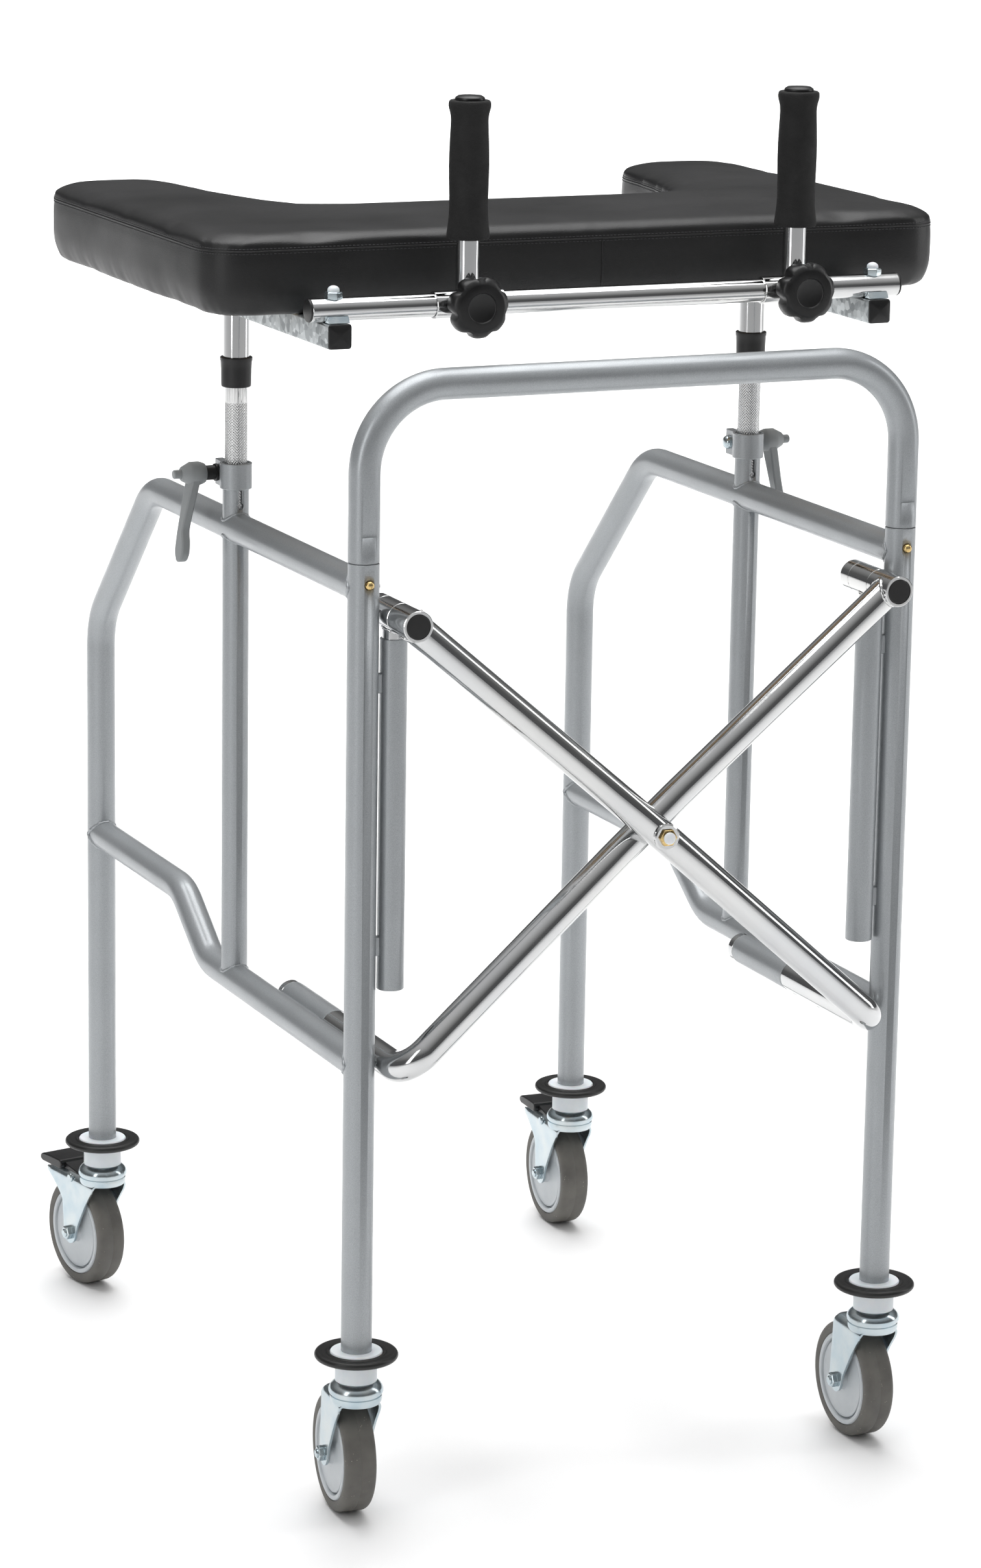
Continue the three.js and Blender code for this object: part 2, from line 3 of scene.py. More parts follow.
import bmesh
import bpy
import numpy as np
from mathutils import Matrix, Vector
from mathutils.bvhtree import BVHTree


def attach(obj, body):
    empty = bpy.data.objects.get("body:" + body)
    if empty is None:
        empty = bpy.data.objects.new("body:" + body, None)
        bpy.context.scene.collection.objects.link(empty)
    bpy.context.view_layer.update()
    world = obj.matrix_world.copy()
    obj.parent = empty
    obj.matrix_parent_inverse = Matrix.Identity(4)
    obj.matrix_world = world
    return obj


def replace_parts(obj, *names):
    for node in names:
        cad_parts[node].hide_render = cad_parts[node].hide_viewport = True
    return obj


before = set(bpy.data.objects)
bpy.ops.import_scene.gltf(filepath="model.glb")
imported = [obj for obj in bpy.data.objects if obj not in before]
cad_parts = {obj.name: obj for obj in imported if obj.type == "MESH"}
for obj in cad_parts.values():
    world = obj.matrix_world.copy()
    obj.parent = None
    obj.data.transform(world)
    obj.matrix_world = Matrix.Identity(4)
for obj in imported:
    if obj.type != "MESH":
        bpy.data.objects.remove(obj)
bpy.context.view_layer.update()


# Front legs: 25.4 mm steel tube, powder coated silver grey, one each side. The shorter tube that
# guides the brace slider stands beside each leg on two small welded tabs.
FRONT_Y = -0.3165
REAR_Y = FRONT_Y + 0.62
COLUMN_Y = FRONT_Y + 0.2805
TRACK = 0.24
SIDES = (("left", -1), ("right", 1))

LEG_RADIUS = 0.0127
LEG_BORE = 0.0107
LEG_FOOT = 0.1473
LEG_TOP = 0.804


def finish_nodes(name):
    """A new material with its Principled shader, and a noise-ready Object coordinate."""
    material = bpy.data.materials.new(name)
    material.use_nodes = True
    nodes = material.node_tree.nodes
    shader = nodes["Principled BSDF"]
    where = nodes.new("ShaderNodeTexCoord")
    return material, nodes, material.node_tree.links, shader, where.outputs["Object"]


def mottle(nodes, links, where, scale, detail=3.0, kind="ShaderNodeTexNoise"):
    """A grey field over Object coordinates: noise, or the cells of a Voronoi pattern."""
    field = nodes.new(kind)
    field.inputs["Scale"].default_value = scale
    if kind == "ShaderNodeTexNoise":
        field.inputs["Detail"].default_value = detail
    links.new(where, field.inputs["Vector"])
    return field.outputs["Fac"] if kind == "ShaderNodeTexNoise" else field.outputs["Distance"]


def ramp(nodes, links, field, low, high, dark, light):
    """Turns a field into a colour: dark below low, light above high, blended between."""
    step = nodes.new("ShaderNodeValToRGB")
    step.color_ramp.elements[0].position = low
    step.color_ramp.elements[0].color = (*dark, 1.0)
    step.color_ramp.elements[1].position = high
    step.color_ramp.elements[1].color = (*light, 1.0)
    links.new(field, step.inputs["Fac"])
    return step.outputs["Color"]


def spread(nodes, links, field, low, high, smallest, largest):
    """Turns a field into a number that runs from smallest to largest as it goes low to high."""
    step = nodes.new("ShaderNodeMapRange")
    step.inputs["From Min"].default_value = low
    step.inputs["From Max"].default_value = high
    step.inputs["To Min"].default_value = smallest
    step.inputs["To Max"].default_value = largest
    links.new(field, step.inputs["Value"])
    return step.outputs["Result"]


def relief(nodes, links, shader, field, strength, depth, below=None):
    """Raises the surface by a field, on top of a coarser relief if one is given."""
    bump = nodes.new("ShaderNodeBump")
    bump.inputs["Strength"].default_value = strength
    bump.inputs["Distance"].default_value = depth
    links.new(field, bump.inputs["Height"])
    if below is not None:
        links.new(below, bump.inputs["Normal"])
    links.new(bump.outputs["Normal"], shader.inputs["Normal"])
    return bump.outputs["Normal"]


def surface(name, shade, colours, shine, grain=None, sockets=None, wear=None, slot=None):
    """A finish and the slot it goes by. The noise shade (scale, detail) blends the colours and, unless
    wear is a second noise for it, the roughness. grain (scale, detail, strength, depth) is raised."""
    material, nodes, links, shader, where = finish_nodes(name)
    cloud = mottle(nodes, links, where, *shade)
    links.new(ramp(nodes, links, cloud, *colours), shader.inputs["Base Color"])
    handling = mottle(nodes, links, where, *wear) if wear else cloud
    links.new(spread(nodes, links, handling, *shine), shader.inputs["Roughness"])
    if grain:
        relief(nodes, links, shader, mottle(nodes, links, where, *grain[:2]), *grain[2:])
    for socket, value in (sockets or {}).items():
        shader.inputs[socket].default_value = value
    return material, slot or name


def powder_coat():
    """Silver-grey powder coat: a fine metallic flake under a slight orange peel."""
    return surface("frame_paint", (1900.0, 2.0), (0.3, 0.72, (0.31, 0.33, 0.345), (0.44, 0.46, 0.475)),
        (0.3, 0.7, 0.3, 0.42), (420.0, 2.0, 0.1, 0.0004), {"Metallic": 0.45, "Coat Weight": 0.25,
        "Coat Roughness": 0.18}, wear=(22.0, 5.0))


def wrapped_quads(rows, columns):
    """Quads of a grid closed both ways: each cell joins the next row and the next column, counted round."""
    i, j = np.meshgrid(np.arange(rows), np.arange(columns), indexing="ij")
    below, beside = (i + 1) % rows, (j + 1) % columns
    corners = (i * columns + j, below * columns + j, below * columns + beside, i * columns + beside)
    return np.stack(corners, -1).reshape(-1, 4)


def piece(name, points, quads, finish, body, crease=32.0):
    """A closed mesh from points and faces: doubles merged, faces outward, smooth up to the crease
    angle. Its finish is a material and the slot it goes by."""
    material, slot = finish
    mesh = bpy.data.meshes.new(name)
    mesh.from_pydata(np.asarray(points, float).reshape(-1, 3).tolist(), [], [list(q) for q in quads])
    work = bmesh.new()
    work.from_mesh(mesh)
    bmesh.ops.remove_doubles(work, verts=work.verts, dist=2e-6)
    bmesh.ops.dissolve_degenerate(work, edges=work.edges, dist=1e-7)
    bmesh.ops.recalc_face_normals(work, faces=work.faces)
    work.to_mesh(mesh)
    work.free()
    mesh.shade_smooth()
    mesh.set_sharp_from_angle(angle=math.radians(crease))
    mesh.materials.append(material)
    made = bpy.data.objects.new(name, mesh)
    bpy.context.scene.collection.objects.link(made)
    if body:
        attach(made, body)
    return made


def skinned(name, skin, finish, body, crease=32.0):
    """A piece from rings of points, each joined to the next ring and the last one to the first."""
    return piece(name, skin, wrapped_quads(*skin.shape[:2]), finish, body, crease)


def unit(v):
    """The direction of each vector, one metre long."""
    return v / np.linalg.norm(v, axis=-1, keepdims=True)


def rounded_path(corners, radii, steps=14):
    """Corner points joined by straight runs and round bends: each bend is an arc that leaves the first
    run and meets the second square to its radius, its centre on their bisector."""
    corners = np.asarray(corners, float)
    stations = [corners[:1]]
    for k in range(1, len(corners) - 1):
        into, out = unit(corners[k] - corners[k - 1]), unit(corners[k + 1] - corners[k])
        turn = math.acos(float(np.clip(into @ out, -1, 1)))
        radius = radii[k - 1]
        inward = unit(out - into * (into @ out))
        start = corners[k] - into * radius * math.tan(turn / 2)
        angle = np.linspace(0, turn, max(3, int(steps * turn / 1.57)) + 1)[:, None]
        stations.append(start + radius * (np.sin(angle) * into + (1 - np.cos(angle)) * inward))
    stations.append(corners[-1:])
    return np.concatenate(stations)


def headings(path, closed=False):
    """The direction of a path at each station: the mean of the runs before and after it."""
    run = unit(np.diff(path, axis=0))
    if closed:
        step = unit(np.roll(path, -1, 0) - path)
        return unit(step + np.roll(step, 1, 0))
    return unit(np.concatenate([run[:1], run[:-1] + run[1:], run[-1:]]))


def carried(path, radii, flat, sides=40, directions=None):
    """A round section carried along a path that lies in one plane: each station holds a circle of its
    own radius, spanned by the plane's normal and by the path's own normal in the plane."""
    path = np.asarray(path, float)
    along = headings(path) if directions is None else directions
    up = unit(np.broadcast_to(np.asarray(flat, float), path.shape))
    across = unit(np.cross(along, up))
    turn = np.linspace(0, 2 * np.pi, sides, endpoint=False)[None, :, None]
    ring = np.cos(turn) * across[:, None] + np.sin(turn) * up[:, None]
    return path[:, None] + np.asarray(radii, float).reshape(-1, 1, 1) * ring


def tube(name, path, flat, outer, bore, finish, body, sides=40, chamfer=0.0004):
    """An open-ended tube: the outer wall carried out along the path and the bore back again, with a
    small chamfer where they meet at each end."""
    path = np.asarray(path, float)
    along = headings(path)
    first, last = path[:1] + along[:1] * chamfer, path[-1:] - along[-1:] * chamfer
    out = np.concatenate([path[:1], first, path[1:-1], last, path[-1:]])
    way = np.concatenate([along[:1], along[:1], along[1:-1], along[-1:], along[-1:]])
    wall = np.full(len(out), outer)
    wall[[0, -1]] = outer - chamfer
    stations = np.concatenate([out, out[::-1]])
    radii = np.concatenate([wall, np.full(len(out), bore)])
    skin = carried(stations, radii, flat, sides, np.concatenate([way, way[::-1]]))
    return skinned(name, skin, finish, body)


def round_stock(name, profile, foot, along, finish, body, steps=48, crease=32.0):
    """Turned work: a profile of (radius, height) pairs swung round an axis that starts at foot."""
    profile = np.asarray(profile, float)
    along = unit(np.asarray(along, float))
    helper = np.array([0.0, 0.0, 1.0]) if abs(along[2]) < 0.9 else np.array([1.0, 0.0, 0.0])
    across = unit(np.cross(helper, along))
    up = np.cross(along, across)
    turn = np.linspace(0, 2 * np.pi, steps, endpoint=False)[None, :, None]
    ring = np.cos(turn) * across + np.sin(turn) * up
    skin = np.asarray(foot) + profile[:, 1, None, None] * along + profile[:, 0, None, None] * ring
    return skinned(name, skin, finish, body, crease)


def weld(name, centre, along, upright, big, small, finish, body, leg=0.0017):
    """A fillet weld where a tube meets a bigger one: the curve in which the two cylinders cross, with a
    small round bead carried along it whose radius swells and dips like laid weld pools."""
    along, upright = unit(np.asarray(along, float)), unit(np.asarray(upright, float))
    across = np.cross(along, upright)
    turn = np.linspace(0, 2 * np.pi, 96, endpoint=False)[:, None]
    reach = np.sqrt(np.clip(big ** 2 - (small * np.cos(turn)) ** 2, 0, None))
    outward = np.cos(turn) * across + np.sin(turn) * upright
    path = np.asarray(centre) + small * outward + reach * along
    way = headings(path, closed=True)
    side = unit(outward - way * np.sum(outward * way, 1, keepdims=True))
    rise = np.cross(way, side)
    bead = np.linspace(0, 2 * np.pi, 10, endpoint=False)[None, :, None]
    size = leg * (1 + 0.13 * np.sin(19 * turn))[:, None]
    skin = path[:, None] + size * (np.cos(bead) * side[:, None] + np.sin(bead) * rise[:, None])
    return skinned(name, skin, finish, body, 60.0)


def settled(work):
    """Turns a piece's modifiers into its mesh."""
    bpy.context.view_layer.update()
    done = bpy.data.meshes.new_from_object(work.evaluated_get(bpy.context.evaluated_depsgraph_get()))
    work.modifiers.clear()
    old, work.data = work.data, done
    bpy.data.meshes.remove(old)


def bored(work, cutter):
    """Cuts one closed mesh out of another and clears the cutter away."""
    cut = work.modifiers.new("bore", "BOOLEAN")
    cut.operation = "DIFFERENCE"
    cut.solver = "EXACT"
    cut.object = cutter
    settled(work)
    bpy.data.objects.remove(cutter, do_unlink=True)


def drill(radius, foot, along, reach):
    """A plain round cutter."""
    return round_stock("drill", [[0, 0], [radius, 0], [radius, reach], [0, reach]], foot, along, paint,
        None, 32)


def block_points(low, high):
    """The eight corners of a box, four below and four above."""
    (x0, y0, z0), (x1, y1, z1) = low, high
    flat = [(x0, y0), (x1, y0), (x1, y1), (x0, y1)]
    return [(x, y, z0) for x, y in flat] + [(x, y, z1) for x, y in flat]


BLOCK_FACES = [(3, 2, 1, 0), (4, 5, 6, 7), (0, 1, 5, 4), (1, 2, 6, 5), (2, 3, 7, 6), (3, 0, 4, 7)]


def soften(made, width, segments=2):
    """Rounds the edges of a piece that are sharper than 30 degrees."""
    bevel = made.modifiers.new("edge", "BEVEL")
    bevel.width = width
    bevel.segments = segments
    bevel.limit_method = "ANGLE"
    bevel.angle_limit = math.radians(30)
    return made


paint = powder_coat()
SNAP_Z = 0.788
SNAP_HOLE = 0.0041
GUIDE_X = 0.2136
GUIDE_RADIUS = 0.0111
GUIDE_BORE = 0.00985
GUIDE_FOOT = 0.4536
GUIDE_TOP = 0.742
TAB_HEIGHTS = (0.482, 0.698)
TAB_THICK, TAB_HIGH = 0.006, 0.016
TAB_FROM_LEG, TAB_FROM_GUIDE = 0.0116, 0.0104

for side, sign in SIDES:
    x, body = sign * TRACK, f"{side}_frame"
    leg = tube(f"leg_tube_front_{side}", [(x, FRONT_Y, LEG_FOOT), (x, FRONT_Y, LEG_TOP)], (0, 1, 0),
        LEG_RADIUS, LEG_BORE, paint, body, 56)
    bored(leg, drill(SNAP_HOLE, (x, FRONT_Y - 0.02, SNAP_Z), (0, 1, 0), 0.018))
    tube(f"guide_tube_{side}", [(sign * GUIDE_X, FRONT_Y, GUIDE_FOOT),
        (sign * GUIDE_X, FRONT_Y, GUIDE_TOP)], (0, 1, 0), GUIDE_RADIUS, GUIDE_BORE, paint, body)
    for k, height in enumerate(TAB_HEIGHTS):
        near, far = sorted((sign * (TRACK - TAB_FROM_LEG), sign * (GUIDE_X + TAB_FROM_GUIDE)))
        low = (near, FRONT_Y - TAB_THICK / 2, height)
        high = (far, FRONT_Y + TAB_THICK / 2, height + TAB_HIGH)
        tab = piece(f"guide_tab_{k}_{side}", block_points(low, high), BLOCK_FACES, paint, body)
        soften(tab, 0.0008)
    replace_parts(leg, f"front_leg_{side}")


# Rear leg and top rail: one length of the same tube, bent twice so that the leg leans forward into
# the rail. It is welded to the front leg, and the column passes up through it in a welded bore.
TOP_RAIL_Z = 0.784
BEND_RADIUS = 0.06
COLUMN_RADIUS = 0.0111
COLUMN_BORE = 0.00985

for side, sign in SIDES:
    x, body = sign * TRACK, f"{side}_frame"
    corners = [(x, REAR_Y, LEG_FOOT), (x, REAR_Y, 0.64), (x, REAR_Y - 0.144, TOP_RAIL_Z),
        (x, FRONT_Y + 0.004, TOP_RAIL_Z)]
    rail = tube(f"rail_tube_top_{side}", rounded_path(corners, (BEND_RADIUS, BEND_RADIUS)), (1, 0, 0),
        LEG_RADIUS, LEG_BORE, paint, body, 56)
    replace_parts(rail, f"rear_leg_rail_{side}")
    weld(f"weld_rail_to_leg_{side}", (x, FRONT_Y, TOP_RAIL_Z), (0, 1, 0), (0, 0, 1), LEG_RADIUS,
        LEG_RADIUS, paint, body)
    for way, word in ((1, "above"), (-1, "below")):
        weld(f"weld_column_{word}_rail_{side}", (x, COLUMN_Y, TOP_RAIL_Z), (0, 0, way), (0, 1, 0),
            LEG_RADIUS, COLUMN_RADIUS, paint, body, 0.0013)


# Lower rail: the same tube, stepped down ahead of the column, welded to both legs. The sleeve that
# the brace's pivot shaft turns in lies beside its front run on a strip of weld.
LOW_RAIL_Z = 0.392
LOW_RAIL_REAR_Z = 0.44
PIVOT_Z = 0.391
SLEEVE_RADIUS = 0.013
SLEEVE_BORE = 0.0112
SLEEVE_FRONT = FRONT_Y + 0.115
SLEEVE_BACK = FRONT_Y + 0.208

for side, sign in SIDES:
    x, body = sign * TRACK, f"{side}_frame"
    corners = [(x, REAR_Y - 0.004, LOW_RAIL_REAR_Z), (x, FRONT_Y + 0.405, LOW_RAIL_REAR_Z),
        (x, FRONT_Y + 0.335, LOW_RAIL_Z), (x, FRONT_Y + 0.004, LOW_RAIL_Z)]
    rail = tube(f"rail_tube_low_{side}", rounded_path(corners, (0.05, 0.05)), (1, 0, 0), LEG_RADIUS,
        LEG_BORE, paint, body, 56)
    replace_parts(rail, f"lower_rail_{side}")
    tube(f"pivot_sleeve_{side}", [(sign * GUIDE_X, SLEEVE_FRONT, PIVOT_Z),
        (sign * GUIDE_X, SLEEVE_BACK, PIVOT_Z)], (0, 0, 1), SLEEVE_RADIUS, SLEEVE_BORE, paint, body, 48)
    weld(f"weld_low_rail_front_{side}", (x, FRONT_Y, LOW_RAIL_Z), (0, 1, 0), (0, 0, 1), LEG_RADIUS,
        LEG_RADIUS, paint, body)
    weld(f"weld_low_rail_rear_{side}", (x, REAR_Y, LOW_RAIL_REAR_Z), (0, -1, 0), (0, 0, 1), LEG_RADIUS,
        LEG_RADIUS, paint, body)
    lane = np.linspace(SLEEVE_FRONT + 0.004, SLEEVE_BACK - 0.004, 90)
    seam = np.stack([np.full_like(lane, sign * 0.2269), lane, np.full_like(lane, PIVOT_Z + 0.0045)], -1)
    pools = 0.0024 * (1 + 0.1 * np.sin(lane * 1900))
    pools[[0, -1]] = 0
    for word, height in (("over", 0.0), ("under", -0.008)):
        bead = carried(seam + (0, 0, height), pools, (0, 0, 1), 12)
        skinned(f"weld_sleeve_{word}_{side}", bead, paint, body, 60.0)


# Columns: 22 mm tube standing on the lower rail and passing through the top rail. The mouth is slit
# down the front, the slit ending in a round hole, so that the collar can pinch it on the post.
COLUMN_TOP = 0.838
SLIT_FOOT = 0.803
SLIT_HALF = 0.0017
SLIT_HOLE = 0.003

for side, sign in SIDES:
    x, body = sign * TRACK, f"{side}_frame"
    column = tube(f"column_tube_{side}", [(x, COLUMN_Y, LOW_RAIL_Z + 0.006), (x, COLUMN_Y, COLUMN_TOP)],
        (0, 1, 0), COLUMN_RADIUS, COLUMN_BORE, paint, body, 56)
    slit = piece("slit", block_points((x - SLIT_HALF, COLUMN_Y - 0.02, SLIT_FOOT),
        (x + SLIT_HALF, COLUMN_Y, 0.85)), BLOCK_FACES, paint, None)
    bored(column, slit)
    bored(column, drill(SLIT_HOLE, (x, COLUMN_Y - 0.02, SLIT_FOOT), (0, 1, 0), 0.018))
    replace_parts(column, f"column_{side}")
    weld(f"weld_column_foot_{side}", (x, COLUMN_Y, LOW_RAIL_Z), (0, 0, 1), (0, 1, 0), LEG_RADIUS,
        COLUMN_RADIUS, paint, body, 0.0013)


# Clamps: a cast split collar round each column mouth, painted like the frame, pinched by a bolt
# through two ears at the back. The bolt's grey plastic lever hub is outboard and the lever hangs.
CLAMP_Z = 0.828
CLAMP_HALF = 0.011
COLLAR_RADIUS, COLLAR_BORE = 0.0136, 0.0114
EAR_GAP, EAR_OUT, EAR_BACK = 0.0016, 0.0088, 0.026
CLAMP_BOLT_Y = COLUMN_Y + 0.0185


def moulded(name, dark, light, roughness, grain, depth, strength=0.25):
    """Moulded plastic or rubber: a little uneven in shade, with the fine grain of the mould's surface."""
    return surface(name, (35.0, 5.0), (0.3, 0.7, dark, light), (0.3, 0.7, *roughness),
        (grain, 2.0, strength, depth))


def plate(name, outline, low, high, finish, body, place, edge=0.0006, segments=2):
    """A flat plate: one outline copied at two depths and walled between them. place puts its points."""
    outline = np.asarray(outline, float)
    count = len(outline)
    both = np.concatenate([np.column_stack([outline, np.full(count, low)]),
        np.column_stack([outline, np.full(count, high)])])
    ring = np.arange(count)
    after = (ring + 1) % count
    walls = np.stack([ring, after, after + count, ring + count], -1).tolist()
    faces = [ring[::-1].tolist(), (ring + count).tolist(), *walls]
    made = piece(name, place(both), faces, finish, body, 35.0)
    if edge:
        soften(made, edge, segments)
    return made


def upright(x, y=0.0, z=0.0):
    """Places a plate on edge: its outline runs back and up from (y, z), and its depth across from x."""
    return lambda p: np.column_stack([x + p[:, 2], y + p[:, 0], z + p[:, 1]])


def hung(x, sign):
    """Places the lever's blade: it hangs from the bolt, and leans outboard by about a fifth of its drop."""
    return lambda p: upright(x, CLAMP_BOLT_Y, CLAMP_Z)(p * (1, 1, sign) - p[:, 1:2] * (0, 0, 0.21 * sign))


def smooth_outline(corners, radius, steps=6):
    """Rounds a closed outline: near each corner the line follows a parabola that touches both its edges."""
    corners = np.asarray(corners, float)
    before, after = np.roll(corners, 1, 0) - corners, np.roll(corners, -1, 0) - corners
    shorter = np.minimum(np.linalg.norm(before, axis=1), np.linalg.norm(after, axis=1))
    reach = np.minimum(radius, 0.45 * shorter)[:, None]
    start, end = corners + unit(before) * reach, corners + unit(after) * reach
    t = np.linspace(0, 1, steps)[None, :, None]
    curve = (1 - t) ** 2 * start[:, None] + 2 * t * (1 - t) * corners[:, None] + t ** 2 * end[:, None]
    return curve.reshape(-1, 2)


def zinc():
    """Bright zinc plate: faintly blue and yellow clouds over a fine drawn surface."""
    return surface("zinc_plate", (60.0, 6.0), (0.35, 0.68, (0.46, 0.55, 0.6), (0.6, 0.65, 0.66)),
        (0.3, 0.7, 0.14, 0.26), (240.0, 2.0, 0.06, 0.0002), {"Metallic": 0.95})


zinc_plate = zinc()
lever_grey = moulded("grey_plastic", (0.245, 0.26, 0.265), (0.285, 0.3, 0.305), (0.38, 0.5), 1500.0,
    0.0003)
black_plastic = moulded("black_plastic", (0.0035, 0.0035, 0.0038), (0.0075, 0.0075, 0.008), (0.3, 0.44),
    1400.0, 0.0002)

for side, sign in SIDES:
    x, body = sign * TRACK, f"{side}_frame"
    low, high = CLAMP_Z - CLAMP_HALF, CLAMP_Z + CLAMP_HALF
    gap = math.asin(EAR_GAP / 0.0115)
    outside = np.linspace(math.pi / 2 + 0.75, math.pi / 2 - 0.75 + 2 * math.pi, 60)
    inside = np.linspace(math.pi / 2 + gap, math.pi / 2 - gap + 2 * math.pi, 60)[::-1]
    rim = COLLAR_RADIUS * np.stack([np.cos(outside), np.sin(outside)], -1)
    hole = COLLAR_BORE * np.stack([np.cos(inside), np.sin(inside)], -1)
    ears = [(-EAR_GAP, EAR_BACK), (-EAR_OUT, EAR_BACK)], [(EAR_OUT, EAR_BACK), (EAR_GAP, EAR_BACK)]
    collar = np.concatenate([ears[0], rim, ears[1], hole])
    made = plate(f"collar_{side}", collar, low, high, paint, body, lambda p, x=x: p + (x, COLUMN_Y, 0),
        0.0007)
    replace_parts(made, f"clamp_collar_{side}")
    lever_body = f"lever_{side}"
    start = (x, CLAMP_BOLT_Y, CLAMP_Z)
    out = (sign, 0, 0)
    round_stock(f"clamp_bolt_{side}", [[0, -0.0145], [0.0026, -0.0143], [0.0046, -0.0134],
        [0.0059, -0.0115], [0.0062, -0.0093], [0.003, -0.0093], [0.003, 0.0215], [0, 0.0215]], start,
        out, zinc_plate, lever_body)
    round_stock(f"bolt_neck_{side}", [[0.003, 0.0093], [0.0068, 0.0093], [0.0074, 0.01], [0.0074, 0.012],
        [0.0062, 0.0126], [0.0062, 0.0214], [0.003, 0.0214]], start, out, black_plastic, lever_body, 40)
    hub = round_stock(f"lever_hub_{side}", [[0, 0.0212], [0.0078, 0.0212], [0.0084, 0.0218],
        [0.0096, 0.025], [0.01, 0.0262], [0.01, 0.034], [0.0092, 0.0356], [0.0062, 0.0415],
        [0.0056, 0.0421], [0, 0.0421]], start, out, lever_grey, lever_body, 40)
    round_stock(f"lever_stub_{side}", [[0, 0.0418], [0.0038, 0.0418], [0.0038, 0.0482], [0.0032, 0.049],
        [0, 0.049]], start, out, lever_grey, lever_body, 32)
    blade = smooth_outline([(-0.0092, 0.002), (0.0092, 0.002), (0.0084, -0.014), (0.0066, -0.036),
        (0.005, -0.052), (0.002, -0.066), (-0.006, -0.0735), (-0.014, -0.072), (-0.016, -0.064),
        (-0.0118, -0.055), (-0.0058, -0.048), (-0.0056, -0.036), (-0.0074, -0.018)], 0.01)
    made = plate(f"lever_blade_{side}", blade, 0.0262, 0.0336, lever_grey, lever_body, hung(x, sign),
        0.0014, 3)
    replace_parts(hub, f"clamp_lever_{side}")


# Arch: a hoop of the same tube that plugs into the front legs. A dent is punched in each foot over a
# sharp ledge, and a sprung brass button in each leg snaps out below the joint.
ARCH_TOP = 0.943
ARCH_BEND = 0.068
ARCH_FOOT = LEG_TOP + 0.0004
DIMPLE_Z = 0.826
SPIGOT_FOOT, SPIGOT_TOP = 0.744, 0.818
SPIGOT_RADIUS, SPIGOT_BORE = 0.0104, 0.0084


def brass():
    """Plain brass, dulled unevenly by handling."""
    return surface("brass_button", (420.0, 4.0), (0.3, 0.7, (0.5, 0.34, 0.13), (0.83, 0.62, 0.29)),
        (0.3, 0.7, 0.16, 0.34), sockets={"Metallic": 1.0})


def dome(radius, rim, rise, steps=8):
    """A quarter of an ellipse, from the rim in to the crown on the axis."""
    turn = np.linspace(0, np.pi / 2, steps)
    return np.stack([radius * np.cos(turn), rim + rise * np.sin(turn)], -1)


brass_button = brass()
hoop = tube("arch_tube", rounded_path([(-TRACK, FRONT_Y, ARCH_FOOT), (-TRACK, FRONT_Y, ARCH_TOP),
    (TRACK, FRONT_Y, ARCH_TOP), (TRACK, FRONT_Y, ARCH_FOOT)], (ARCH_BEND, ARCH_BEND), 22), (0, 1, 0),
    LEG_RADIUS, LEG_BORE, paint, "arch", 56, 0.0007)
spigot = tube("arch_spigot_left", [(-TRACK, FRONT_Y, SPIGOT_FOOT), (-TRACK, FRONT_Y, SPIGOT_TOP)],
    (0, 1, 0), SPIGOT_RADIUS, SPIGOT_BORE, paint, "arch", 40)
bored(spigot, drill(0.0042, (-TRACK, FRONT_Y - 0.02, SNAP_Z), (0, 1, 0), 0.018))
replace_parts(hoop, "arch")
for side, sign in SIDES:
    x = sign * TRACK
    dent = [(-LEG_RADIUS - 0.002, DIMPLE_Z - 0.0004), (-LEG_RADIUS + 0.0018, DIMPLE_Z),
        (-LEG_RADIUS + 0.001, DIMPLE_Z + 0.0055), (-LEG_RADIUS - 0.002, DIMPLE_Z + 0.02)]
    bored(hoop, plate("punch", dent, -0.012, 0.012, paint, None, upright(x, FRONT_Y), 0))
    button = np.concatenate([[[0, 0.0109], [0.0037, 0.0109]], dome(0.0037, 0.0133, 0.0031, 9)])
    made = round_stock(f"snap_{side}_stud", button, (x, FRONT_Y, SNAP_Z), (0, -1, 0), brass_button,
        f"snap_{side}", 32)
    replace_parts(made, f"snap_button_{side}")


# Casters: 100 mm swivel casters pressed from zinc-plated sheet, their stems in white nylon bushes in
# the legs. A black rubber ring round each bush takes knocks. The rear pair have a brake pedal.
HEADING = {"front_left": 5.0, "front_right": 0.0, "rear_left": -11.0, "rear_right": 2.0}
WHEEL_RADIUS = 0.05
TRAIL = 0.03


